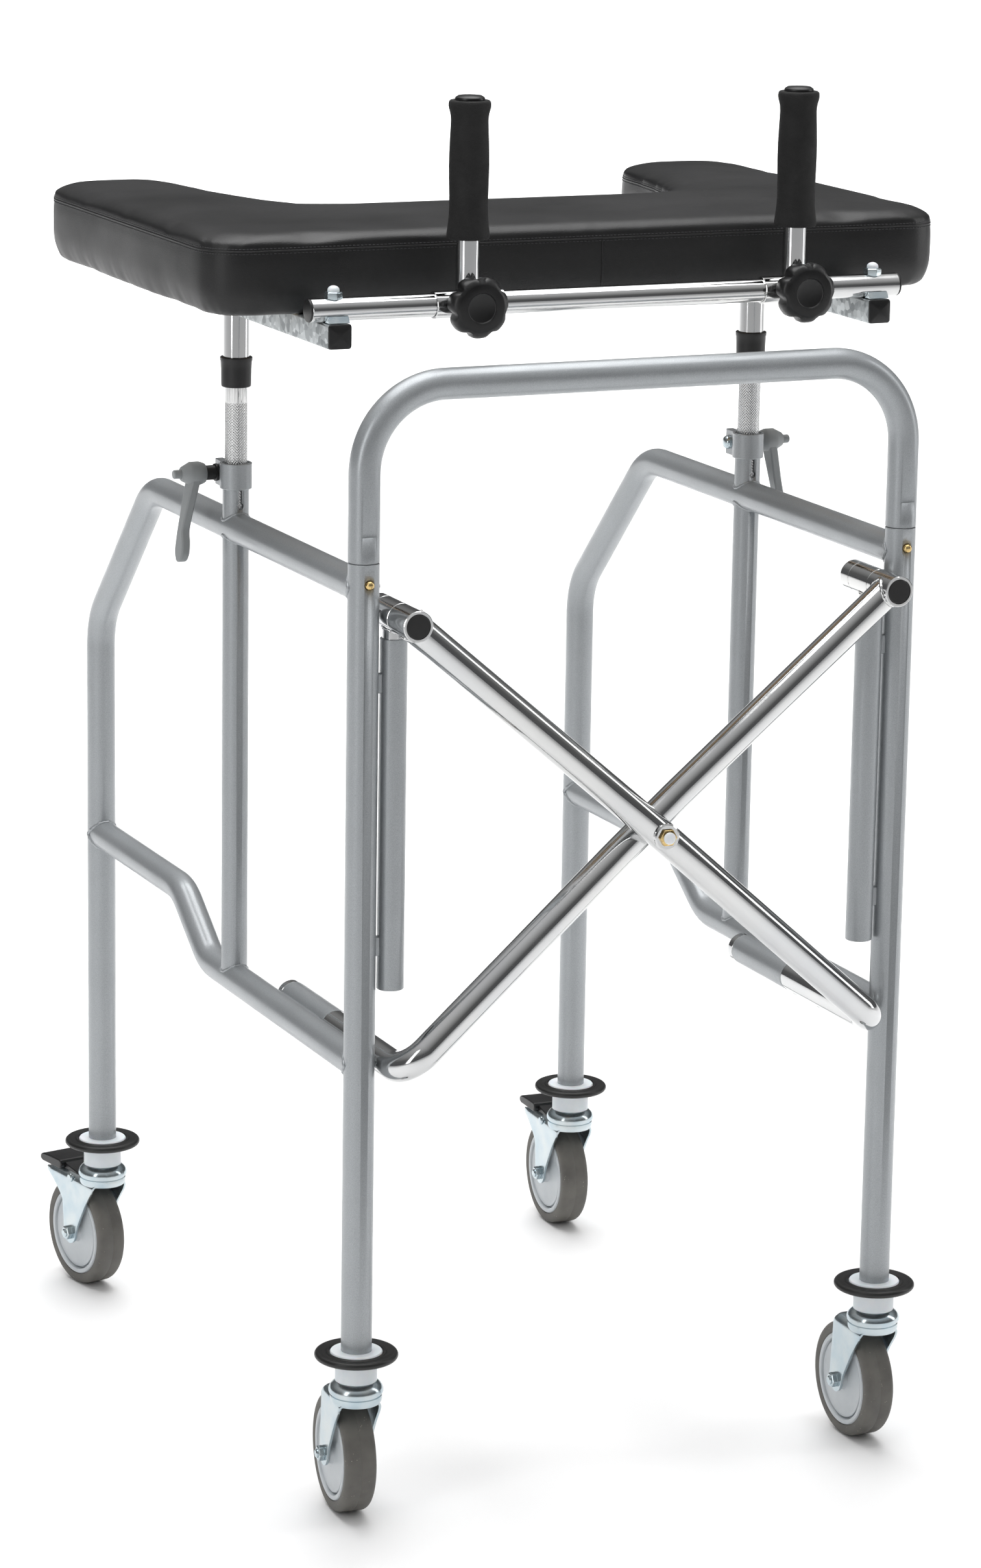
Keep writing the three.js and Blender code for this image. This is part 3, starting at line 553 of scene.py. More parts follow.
def tread_rubber():
    """Warm grey tread rubber with floor dust caught in it as small pale specks."""
    material, nodes, links, shader, where = finish_nodes("grey_tyre")
    cloud = mottle(nodes, links, where, 45.0, 6.0)
    rubber = ramp(nodes, links, cloud, 0.3, 0.7, (0.092, 0.088, 0.08), (0.15, 0.143, 0.128))
    specks = mottle(nodes, links, where, 420.0, kind="ShaderNodeTexVoronoi")
    dust = ramp(nodes, links, specks, 0.1, 0.16, (1, 1, 1), (0, 0, 0))
    patches = mottle(nodes, links, where, 95.0, 3.0)
    here = ramp(nodes, links, patches, 0.56, 0.64, (0, 0, 0), (1, 1, 1))
    both = nodes.new("ShaderNodeMath")
    both.operation = "MULTIPLY"
    links.new(dust, both.inputs[0])
    links.new(here, both.inputs[1])
    coat = nodes.new("ShaderNodeMix")
    coat.data_type = "RGBA"
    coat.inputs["B"].default_value = (0.45, 0.42, 0.36, 1)
    links.new(both.outputs["Value"], coat.inputs["Factor"])
    links.new(rubber, coat.inputs["A"])
    links.new(coat.outputs["Result"], shader.inputs["Base Color"])
    links.new(spread(nodes, links, cloud, 0.3, 0.7, 0.5, 0.68), shader.inputs["Roughness"])
    fine = mottle(nodes, links, where, 900.0, 3.0)
    relief(nodes, links, shader, fine, 0.2, 0.0003)
    return material, "grey_tyre"


def nylon():
    """Natural nylon: white, slightly blue, letting a little light into itself."""
    return surface("white_plastic", (50.0, 4.0), (0.3, 0.7, (0.74, 0.79, 0.83), (0.84, 0.87, 0.89)),
        (0.3, 0.7, 0.28, 0.4), (800.0, 2.0, 0.1, 0.0002), {"Subsurface Weight": 0.12,
        "Subsurface Scale": 0.004})


def at_heading(corner, points):
    """Turns a caster's points about its swivel axis by its heading, and stands them under its leg."""
    end, side = corner.split("_")
    turn = math.radians(-HEADING[corner])
    points = np.asarray(points, float)
    across, back = points[..., 0], points[..., 1]
    x = math.cos(turn) * across - math.sin(turn) * back + (TRACK if side == "right" else -TRACK)
    y = math.sin(turn) * across + math.cos(turn) * back + (FRONT_Y if end == "front" else REAR_Y)
    return np.stack([x, y, points[..., 2]], -1)


def pressed_fork(corner, braked):
    """The fork's sheet: its section up one cheek, over the roof and down the other, and from each point
    of that section a straight run from the front edge back to the rear edge. Those edges follow the height,
    and under the swivel head the front edge is the head's circle."""
    cheek, roof, fold, crown = 0.0175, 0.1078, 0.0075, 0.0207
    round_end = np.linspace(0.02, np.pi / 2, 12)
    low = 0.05 - 0.0105 * np.cos(round_end)
    climb = np.linspace(0.0525, roof - fold, 26)
    bend = np.linspace(0, np.pi / 2, 12)[1:]
    flat = np.linspace(cheek - fold, 0, 7)[1:]
    z = np.concatenate([low, climb, roof - fold + fold * np.sin(bend), np.full(len(flat), roof)])
    w = np.concatenate([np.full(len(low) + len(climb), cheek), cheek - fold + fold * np.cos(bend), flat])
    front_heights = (0.05, 0.058, 0.072, 0.084, 0.092, 0.097, 0.1005)
    front_edge = (0.0195, 0.0165, 0.0085, 0.001, -0.005, -0.009, -0.0106)
    rear_heights = (0.05, 0.066, 0.08, 0.086, 0.095, 0.1005, 0.1035, 0.105, 0.1062, 0.109)
    rear_edge = (0.0405, 0.0415, 0.043, 0.0485, 0.06, 0.0685, 0.0722, 0.0712, 0.05,
        0.036) if braked else (0.0405, 0.0392, 0.038, 0.0375, 0.0368, 0.0365, 0.0362, 0.036, 0.0355,
        0.035)
    front, rear = np.interp(z, front_heights, front_edge), np.interp(z, rear_heights, rear_edge)
    front = np.where(z > 0.1005, -np.sqrt(crown ** 2 - w ** 2), front)
    bulge = np.sqrt(np.clip(0.0105 ** 2 - (z - 0.05) ** 2, 0, None))
    front, rear = np.where(z < 0.05, TRAIL - bulge, front), np.where(z < 0.05, TRAIL + bulge, rear)
    section = np.concatenate([np.stack([-w, z, front, rear], -1), np.stack([w, z, front, rear],
        -1)[-2::-1]])
    runs = 13
    k = np.linspace(0, 1, runs)[None, :]
    back = section[:, 2, None] * (1 - k) + section[:, 3, None] * k
    sheet = np.stack([np.repeat(section[:, :1], runs, 1), back, np.repeat(section[:, 1:2], runs, 1)], -1)
    rows, columns = sheet.shape[:2]
    i, j = np.meshgrid(np.arange(rows - 1), np.arange(columns - 1), indexing="ij")
    first = i * columns + j
    quads = np.stack([first, first + 1, first + columns + 1, first + columns], -1)
    made = piece(f"fork_sheet_{corner}", at_heading(corner, sheet), quads.reshape(-1, 4), zinc_plate,
        f"caster_{corner}", 50.0)
    wall = made.modifiers.new("sheet", "SOLIDIFY")
    wall.thickness = 0.002
    wall.offset = 0.0
    return soften(made, 0.0005)


rubber = moulded("black_rubber", (0.006, 0.006, 0.006), (0.012, 0.012, 0.011), (0.34, 0.5), 700.0, 0.0003)
tyre_rubber = tread_rubber()
nylon_white = nylon()
core_grey = moulded("core_plastic", (0.5, 0.535, 0.56), (0.58, 0.61, 0.63), (0.3, 0.42), 900.0, 0.0002,
    0.15)

for corner in HEADING:
    end, side = corner.split("_")
    braked = end == "rear"
    frame_body, fork_body, wheel_body = f"{side}_frame", f"caster_{corner}", f"wheel_{corner}"
    foot = at_heading(corner, np.zeros(3))
    axle = at_heading(corner, np.array([0.0, TRAIL, WHEEL_RADIUS]))
    across = at_heading(corner, np.array([1.0, 0.0, 0.0])) - foot
    bush = round_stock(f"bush_{corner}", [[0.0058, 0.1229], [0.0168, 0.1229], [0.01735, 0.1234],
        [0.01735, 0.144], [0.021, 0.144], [0.0216, 0.1446], [0.0216, 0.1476], [0.0209, 0.1486],
        [0.013, 0.1489], [0.0104, 0.148], [0.0104, 0.165], [0.0058, 0.165]], foot, (0, 0, 1),
        nylon_white, frame_body, 56)
    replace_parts(bush, f"caster_bush_{corner}")
    edge = np.linspace(-np.pi / 2 + 0.25, np.pi / 2, 10)
    ring = np.concatenate([[[0.0178, 0.1425], [0.02, 0.142], [0.03, 0.1418]],
        np.stack([0.0312 + 0.0033 * np.cos(edge), 0.1452 + 0.0031 * np.sin(edge)], -1),
        [[0.03, 0.148], [0.0268, 0.1474], [0.0252, 0.1474], [0.0244, 0.1481], [0.023, 0.1482],
        [0.0222, 0.1474], [0.022, 0.1437], [0.0178, 0.1437]]])
    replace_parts(round_stock(f"knock_ring_{corner}", ring, foot, (0, 0, 1), rubber, frame_body, 72),
        f"bumper_ring_{corner}")
    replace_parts(pressed_fork(corner, braked), f"caster_fork_{corner}")
    head = [[0, 0.1036], [0.0188, 0.1036], [0.0203, 0.1044], [0.0213, 0.1062], [0.0216, 0.1085],
        [0.0214, 0.1106], [0.0204, 0.1112], [0.0204, 0.112], [0.022, 0.1126], [0.0226, 0.114],
        [0.0226, 0.1158], [0.0219, 0.118], [0.0205, 0.12], [0.0186, 0.1216], [0.0172, 0.1226],
        [0.0054, 0.1226], [0.0054, 0.158], [0, 0.158]]
    round_stock(f"swivel_head_{corner}", head, foot, (0, 0, 1), zinc_plate, fork_body, 64)
    half = [[0.0044, 0.0158], [0.0085, 0.0158], [0.0092, 0.0152], [0.01, 0.0118], [0.012, 0.0112],
        [0.03, 0.0112], [0.0322, 0.0116], [0.0331, 0.0122], [0.0337, 0.0118], [0.034, 0.008],
        [0.0353, 0.008], [0.0356, 0.0122], [0.0362, 0.0131], [0.0371, 0.0134], [0.0394, 0.0133],
        [0.0402, 0.0122]]
    core = np.array(half + [[r, -h] for r, h in reversed(half)])
    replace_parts(round_stock(f"core_{corner}", core, axle, across, core_grey, wheel_body, 72),
        f"wheel_core_{corner}")
    shoulder = np.linspace(0, np.pi / 2, 8)
    flank = np.concatenate([[[0.0403, 0.0122], [0.041, 0.013], [0.044, 0.0135]],
        np.stack([0.0452 + 0.0048 * np.sin(shoulder), 0.0087 + 0.0048 * np.cos(shoulder)], -1),
        [[0.05, 0.0004], [0.0498, 0.0]]])
    band = np.concatenate([flank, (flank * (1, -1))[-2::-1]])
    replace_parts(round_stock(f"tread_{corner}", band, axle, across, tyre_rubber, wheel_body, 80),
        f"tyre_{corner}")
    shank = round_stock(f"axle_shank_{corner}", [[0, -0.0252], [0.0028, -0.0252], [0.0038, -0.0244],
        [0.0038, 0.019], [0, 0.019]], axle, across, zinc_plate, fork_body, 32)
    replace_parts(shank, f"axle_bolt_{corner}")
    for word, way in (("head", 1), ("nut", -1)):
        hexagon = [[0, 0.0184], [0.0062, 0.0184], [0.0066, 0.0188], [0.0066, 0.0229], [0.0058, 0.0236],
            [0.0032, 0.0236], [0.0029, 0.0231], [0, 0.023]]
        soften(round_stock(f"axle_{word}_{corner}", hexagon, axle, across * way, zinc_plate, fork_body,
            6), 0.0003)
    if braked:
        swing = smooth_outline([(0.019, 0.1095), (0.019, 0.1016), (0.044, 0.1016), (0.06, 0.102),
            (0.076, 0.1042), (0.0805, 0.108), (0.0805, 0.1135), (0.05, 0.115), (0.042, 0.1128)], 0.004)
        tread = smooth_outline([(0.046, 0.1074), (0.08, 0.1072), (0.0832, 0.1092), (0.0826, 0.1132),
            (0.078, 0.1152), (0.062, 0.1162), (0.046, 0.1162), (0.0445, 0.113)], 0.006)
        for word, shape, reach in (("arm", swing, 0.0138), ("tread", tread, 0.019)):
            made = plate(f"pedal_{word}_{corner}", shape, -reach, reach, black_plastic, f"pedal_{corner}",
                lambda p, c=corner: at_heading(c, upright(0.0)(p)), 0.0012, 3)
        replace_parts(made, f"brake_pedal_{corner}")
        pin = at_heading(corner, np.array([0.0, 0.028, 0.104]))
        for word, way in (("near", -1), ("far", 1)):
            round_stock(f"ear_rivet_{word}_{corner}", [[0, 0.015], [0.0026, 0.015], [0.0026, 0.0184],
                [0.0042, 0.0184], [0.004, 0.0193], [0.003, 0.0201], [0, 0.0204]], pin, across * way,
                zinc_plate, fork_body, 32)


# Scissor brace: two chromed tubes that cross on a bolt. Each starts on a shaft turning in the sleeve
# beside the lower rail, bends into the diagonal and ends in a welded head on the other side.
HEAD_Z = 0.76
BRACE_Y = FRONT_Y - 0.0335
BOLT_Z = (PIVOT_Z + HEAD_Z) / 2


def bright_chrome():
    """Bright chrome plate, faintly waved by the polishing and dulled here and there by fingers."""
    return surface("chrome_tube", (9.0, 3.0), (0.3, 0.7, (0.6, 0.61, 0.62), (0.68, 0.68, 0.67)),
        (0.35, 0.75, 0.05, 0.17), (130.0, 2.0, 0.05, 0.0003), {"Metallic": 1.0}, wear=(26.0, 6.0))


chrome = bright_chrome()
for word, sign, lean, body in (("back", -1, 0.0085, "brace_back"), ("front", 1, -0.0175, "brace_front")):
    x = sign * GUIDE_X
    span, rise = 2 * GUIDE_X, HEAD_Z - PIVOT_Z

    def on_arm(share, y, x=x, sign=sign):
        """A point that share of the way from the lower pivot to the head."""
        return (x - sign * span * share, y, PIVOT_Z + rise * share)

    corners = [(x, SLEEVE_FRONT - 0.0003, PIVOT_Z), on_arm(0, BRACE_Y), on_arm(0.44, BRACE_Y + lean),
        on_arm(0.56, BRACE_Y + lean), on_arm(0.992, BRACE_Y)]
    flat = unit(np.array([rise, 0.0, sign * span]))
    arm = tube(f"arm_tube_{word}", rounded_path(corners, (0.024, 0.6, 0.6), 18), flat, LEG_RADIUS,
        LEG_BORE, chrome, body, 56)
    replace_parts(arm, f"brace_arm_{word}")
    round_stock(f"pivot_journal_{word}", [[0, 0.105], [0.0105, 0.105], [0.0105, 0.113], [0.0109, 0.1135],
        [0.0109, 0.2083], [0.0122, 0.2083], [0.0127, 0.2088], [0.0127, 0.2155], [0.012, 0.2162],
        [0.0098, 0.2162], [0.0098, 0.215], [0, 0.215]], (x, FRONT_Y, PIVOT_Z), (0, 1, 0), chrome, body,
        56)
    round_stock(f"pivot_plug_{word}", [[0, 0.214], [0.0096, 0.214], [0.0096, 0.2158], [0.0088, 0.2168],
        [0, 0.2172]], (x, FRONT_Y, PIVOT_Z), (0, 1, 0), black_plastic, body, 40)
    for k, y in enumerate((0.063, 0.1065)):
        round_stock(f"shaft_rivet_{k}_{word}", [[0, 0.0118], [0.004, 0.0118], [0.0038, 0.0134],
            [0.0026, 0.0144], [0, 0.0148]], (x, FRONT_Y + y, PIVOT_Z), (0, 0, -1), chrome, body, 28)
    head = [[0, -0.0484], [0.0104, -0.0484], [0.0104, -0.05], [0.0121, -0.05], [0.0127, -0.0494],
        [0.0127, -0.0168], [0.0122, -0.0163], [0.0094, -0.0163], [0.0094, 0.0163], [0.0122, 0.0163],
        [0.0127, 0.0168], [0.0127, 0.0294], [0.0121, 0.03], [0, 0.03]]
    round_stock(f"arm_head_{word}", head, (-x, FRONT_Y, HEAD_Z), (0, 1, 0), chrome, body, 56)
    round_stock(f"head_plug_{word}", [[0, -0.0503], [0.0094, -0.0502], [0.0102, -0.0496],
        [0.0102, -0.047], [0, -0.047]], (-x, FRONT_Y, HEAD_Z), (0, 1, 0), black_plastic, body, 48)
    round_stock(f"ring_plug_{word}", [[0, 0.0304], [0.01, 0.0303], [0.0106, 0.0298], [0.0106, 0.029],
        [0, 0.029]], (-x, FRONT_Y, HEAD_Z), (0, 1, 0), black_plastic, body, 40)
    weld(f"weld_arm_head_{word}", (-x, BRACE_Y, HEAD_Z), (sign * span, 0, -rise), (0, 1, 0), LEG_RADIUS,
        0.01265, chrome, body, 0.0014)

round_stock("bolt_shank", [[0, -0.071], [0.004, -0.071], [0.0047, -0.07], [0.0047, -0.0116],
    [0, -0.0116]], (0, FRONT_Y, BOLT_Z), (0, 1, 0), zinc_plate, "brace_back", 32)
bolt = soften(round_stock("bolt_nut", [[0, -0.0695], [0.0058, -0.0695], [0.0074, -0.0688],
    [0.0076, -0.068], [0.0076, -0.0655], [0, -0.0655]], (0, FRONT_Y, BOLT_Z), (0, 1, 0), brass_button,
    "brace_back", 6), 0.0003)
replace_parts(bolt, "centre_bolt")
round_stock("bolt_washer", [[0.0047, -0.0662], [0.0098, -0.0662], [0.011, -0.0653], [0.0112, -0.0641],
    [0.0047, -0.0641]], (0, FRONT_Y, BOLT_Z), (0, 1, 0), chrome, "brace_back", 48)
round_stock("bolt_cap", np.concatenate([[[0, -0.0686], [0.005, -0.0686]], dome(0.005, -0.0705, -0.0022)]),
    (0, FRONT_Y, BOLT_Z), (0, 1, 0), nylon_white, "brace_back", 32)
soften(round_stock("bolt_head", [[0, -0.0116], [0.0082, -0.0116], [0.0082, -0.007], [0.007, -0.0065],
    [0, -0.0065]], (0, FRONT_Y, BOLT_Z), (0, 1, 0), zinc_plate, "brace_back", 6), 0.0003)


# Sliders: a chromed eye that the arm's head journal turns in, welded on a stem that slides down in
# the guide tube as the frame folds.
STEM_RADIUS, STEM_BORE = 0.00955, 0.0076
STEM_FOOT = 0.47

for side, sign in SIDES:
    x, body = sign * GUIDE_X, f"slider_{side}"
    eye = tube(f"slider_eye_{side}", [(x, FRONT_Y - 0.016, HEAD_Z), (x, FRONT_Y + 0.016, HEAD_Z)],
        (0, 0, 1), LEG_RADIUS, 0.0097, chrome, body, 56)
    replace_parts(eye, f"slider_{side}")
    tube(f"slider_stem_{side}", [(x, FRONT_Y, STEM_FOOT), (x, FRONT_Y, HEAD_Z - 0.0102)], (0, 1, 0),
        STEM_RADIUS, STEM_BORE, chrome, body, 48)
    weld(f"weld_slider_{side}", (x, FRONT_Y, HEAD_Z), (0, 0, -1), (0, 1, 0), LEG_RADIUS, STEM_RADIUS,
        chrome, body, 0.001)


# Posts: a chromed post with a diamond knurl slides in each column, and carries a wider tube with a
# moulded black collar at its foot and a small gusset under the square bar.
POST_RADIUS = 0.00955
KNURL_FOOT, KNURL_TOP = 0.79, 0.8905
COLLAR_FOOT = 0.903
BAR_UNDER = 0.9657


def knurled(name, x, foot, top, body):
    """A post with a diamond knurl pressed into it: two sets of ridges wound left and right round it,
    each a triangle wave of the angle and the height, faded in and out at the knurl's ends."""
    below, above = np.linspace(foot, KNURL_FOOT, 4), np.linspace(KNURL_TOP, top, 4)
    z = np.unique(np.concatenate([below, np.arange(KNURL_FOOT, KNURL_TOP, 0.00036), above]))[:, None]
    teeth, pitch, deep, around = 26, 2600.0, 0.0006, 208
    turn = np.linspace(0, 2 * np.pi, around, endpoint=False)[None, :]

    def ridge(phase):
        """A triangle wave between nought and one."""
        return np.abs(np.mod(phase / np.pi, 2) - 1)

    within = np.clip((z - KNURL_FOOT) / 0.0008, 0, 1) * np.clip((KNURL_TOP - z) / 0.0008, 0, 1)
    depth = np.minimum(ridge(teeth * turn + pitch * z), ridge(teeth * turn - pitch * z))
    radius = POST_RADIUS - deep * within * (1 - depth)
    wall = np.stack([x + radius * np.cos(turn), COLUMN_Y + radius * np.sin(turn),
        np.repeat(z, around, 1)], -1)
    centre = np.array([x, COLUMN_Y, 0.0])
    rim = np.broadcast_to(centre, (1, around, 3))
    skin = np.concatenate([rim + (0, 0, foot), wall, rim + (0, 0, top)])
    return skinned(name, skin, chrome, body, 70.0)


for side, sign in SIDES:
    x = sign * TRACK
    carrier = "platform" if side == "left" else "post_right"
    top = 0.95 if side == "left" else 0.9027
    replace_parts(knurled(f"knurled_post_{side}", x, 0.56, top, carrier), f"inner_post_{side}")
    wide = tube(f"post_tube_{side}", [(x, COLUMN_Y, COLLAR_FOOT + 0.002), (x, COLUMN_Y, BAR_UNDER)],
        (0, 1, 0), COLUMN_RADIUS, COLUMN_BORE, chrome, "platform", 48)
    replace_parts(wide, f"outer_post_{side}")
    collar = [[0.0104, 0.0], [0.0118, 0.0], [0.0124, 0.0006], [0.0126, 0.003], [0.0128, 0.015],
        [0.0131, 0.021], [0.0136, 0.0226], [0.0136, 0.0246], [0.013, 0.0252], [0.0112, 0.0252],
        [0.0111, 0.001], [0.0104, 0.001]]
    round_stock(f"post_collar_{side}", collar, (x, COLUMN_Y, COLLAR_FOOT), (0, 0, 1), black_plastic,
        "platform", 56)
    web = [(0.01, BAR_UNDER), (0.03, BAR_UNDER), (0.03, BAR_UNDER - 0.002), (0.0125, BAR_UNDER - 0.026),
        (0.01, BAR_UNDER - 0.026)]
    plate(f"post_gusset_{side}", web, -0.0015, 0.0015, chrome, "platform", upright(x, COLUMN_Y), 0.0005)


# Square bars: two lengths of galvanised 20 mm square tube that the pad is screwed to, their front
# ends closed by black plastic caps.
BAR_X = 0.241
BAR_Z = 0.976
BAR_FRONT = FRONT_Y + 0.051
BAR_BACK = FRONT_Y + 0.48


def galvanised():
    """Hot-dip zinc with its spangle: crystal cells of differing grey and shine."""
    material, nodes, links, shader, where = finish_nodes("galvanised")
    cells = nodes.new("ShaderNodeTexVoronoi")
    cells.inputs["Scale"].default_value = 190.0
    links.new(where, cells.inputs["Vector"])
    shade = nodes.new("ShaderNodeSeparateColor")
    links.new(cells.outputs["Color"], shade.inputs["Color"])
    links.new(ramp(nodes, links, shade.outputs["Red"], 0.1, 0.9, (0.24, 0.26, 0.27), (0.52, 0.55, 0.56)),
        shader.inputs["Base Color"])
    links.new(spread(nodes, links, shade.outputs["Green"], 0.0, 1.0, 0.28, 0.5),
        shader.inputs["Roughness"])
    fine = mottle(nodes, links, where, 300.0, 4.0)
    relief(nodes, links, shader, fine, 0.2, 0.0003)
    shader.inputs["Metallic"].default_value = 0.85
    return material, "zinc_plate"


def rounded_square(half, corner, steps=6):
    """A square section with round corners, each a quarter circle set in by its radius."""
    turn = np.linspace(0, np.pi / 2, steps)
    inset = half - corner
    quarter = corner * np.stack([np.cos(turn), np.sin(turn)], -1) + inset
    spin = [np.array([[np.cos(a), np.sin(a)], [-np.sin(a), np.cos(a)]]) for a in np.arange(4) * np.pi / 2]
    return np.concatenate([quarter @ s for s in spin])


def along_bar(section, y, sign):
    """A section stood across the square bar on one side, at y."""
    return np.column_stack([sign * BAR_X + section[:, 0], np.full(len(section), y), BAR_Z + section[:, 1]])


galvanised_steel = galvanised()
for side, sign in SIDES:
    outer, inner = rounded_square(0.01, 0.0022), rounded_square(0.0084, 0.001)
    rings = (outer, BAR_FRONT), (outer, BAR_BACK), (inner, BAR_BACK), (inner, BAR_FRONT)
    skin = np.stack([along_bar(ring, y, sign) for ring, y in rings])
    bar = skinned(f"bar_tube_{side}", skin, galvanised_steel, "platform", 40.0)
    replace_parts(bar, f"square_bar_{side}")
    shapes = ((0.0, -0.0018), (0.0088, -0.0018), (0.0096, -0.0012), (0.0098, 0.0), (0.0082, 0.0),
        (0.0082, 0.012), (0.0, 0.012))
    halves = [max(half, 1e-5) for half, _ in shapes]
    rings = [(rounded_square(half, 0.25 * half), BAR_FRONT + y) for half, (_, y) in zip(halves, shapes)]
    skin = np.stack([along_bar(ring, y, sign) for ring, y in rings])
    skinned(f"bar_cap_{side}", skin, black_plastic, "platform", 40.0)


# Cross bar: a chromed 19 mm tube across the front of the square bars, bolted down through small
# saddles. Its ends have black caps, and white plastic caps cover the nuts.
CROSS_Y = FRONT_Y + 0.064
CROSS_Z = 0.996
CROSS_END = 0.262

bar = tube("cross_tube", [(-CROSS_END, CROSS_Y, CROSS_Z), (CROSS_END, CROSS_Y, CROSS_Z)], (0, 0, 1),
    POST_RADIUS, 0.0079, chrome, "platform", 56)
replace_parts(bar, "cross_bar")
for side, sign in SIDES:
    round_stock(f"cross_plug_{side}", [[0, -0.008], [0.0077, -0.008], [0.0077, 0.0], [0.0094, 0.0],
        [0.0096, 0.0005], [0.009, 0.0016], [0, 0.0022]], (sign * CROSS_END, CROSS_Y, CROSS_Z),
        (sign, 0, 0), black_plastic, "platform", 48)
    at = (sign * BAR_X, CROSS_Y + 0.001, 0.0)
    soften(round_stock(f"bar_nut_{side}", [[0, 1.004], [0.0072, 1.004], [0.0074, 1.0046],
        [0.0074, 1.0095], [0.0064, 1.0103], [0, 1.0103]], at, (0, 0, 1), zinc_plate, "platform", 6),
        0.0003)
    round_stock(f"nut_cap_{side}", np.concatenate([[[0, 1.0098], [0.0048, 1.0098]],
        dome(0.0048, 1.0115, 0.0036)]), at, (0, 0, 1), nylon_white, "platform", 32)
    cheek = np.linspace(-np.pi * 0.86, -np.pi * 0.14, 24)
    saddle = np.concatenate([0.0098 * np.stack([np.cos(cheek), np.sin(cheek)], -1),
        [(0.0125, -0.0095), (-0.0125, -0.0095)]])
    plate(f"bar_saddle_{side}", saddle, -0.009, 0.009, zinc_plate, "platform",
        upright(sign * BAR_X, CROSS_Y, CROSS_Z), 0.0003)


# Hand grips: a chromed sleeve that slides on the cross bar with a stalk welded on it, a black foam
# grip pushed over the stalk, and a seven-lobed black knob whose screw locks the sleeve.
GRIP_X = {"left": -0.126, "right": 0.167}
LOBES = 7
SLEEVE_HALF = 0.03
GRIP_SLEEVE = 0.0111


def foam():
    """Closed-cell foam rubber: dull black, pitted all over by fine cells."""
    material, nodes, links, shader, where = finish_nodes("grip_foam")
    cloud = mottle(nodes, links, where, 70.0, 5.0)
    links.new(ramp(nodes, links, cloud, 0.3, 0.7, (0.0025, 0.0025, 0.0025), (0.006, 0.006, 0.006)),
        shader.inputs["Base Color"])
    links.new(spread(nodes, links, cloud, 0.3, 0.7, 0.7, 0.88), shader.inputs["Roughness"])
    pits = mottle(nodes, links, where, 1300.0, kind="ShaderNodeTexVoronoi")
    coarse = relief(nodes, links, shader, cloud, 0.3, 0.001)
    relief(nodes, links, shader, pits, 0.45, 0.0005, coarse)
    return material, "grip_foam"


def lobed_knob(name, centre, body):
    """A star knob: at each depth a radius, less seven narrow finger notches. A notch is a bell curve of
    the angle from its middle, deepest half way back along the rim and gone on the ringed front face."""
    depth = np.array([0.0016, 0.0016, 0.0012, 0.0, 0.0, 0.0004, 0.0018, 0.0042, 0.0075, 0.014, 0.0168,
        0.018, 0.018, 0.0198, 0.0198])
    reach = np.array([0, 0.0112, 0.0119, 0.0124, 0.0186, 0.0196, 0.0226, 0.0243, 0.025, 0.0248, 0.0236,
        0.0212, 0.01, 0.0094, 0])
    notch = np.array([0, 0, 0, 0, 0, 0.0001, 0.0012, 0.0026, 0.0036, 0.004, 0.0038, 0.003, 0, 0, 0])
    around = 168
    turn = np.linspace(0, 2 * np.pi, around, endpoint=False)[None, :]
    off = np.mod(turn + np.pi / LOBES, 2 * np.pi / LOBES) - np.pi / LOBES
    radius = reach[:, None] - notch[:, None] * np.exp(-(off / 0.15) ** 2)
    skin = np.stack([centre[0] + radius * np.sin(turn), centre[1] + np.repeat(depth[:, None], around, 1),
        centre[2] + radius * np.cos(turn)], -1)
    return skinned(name, skin, black_plastic, body, 40.0)


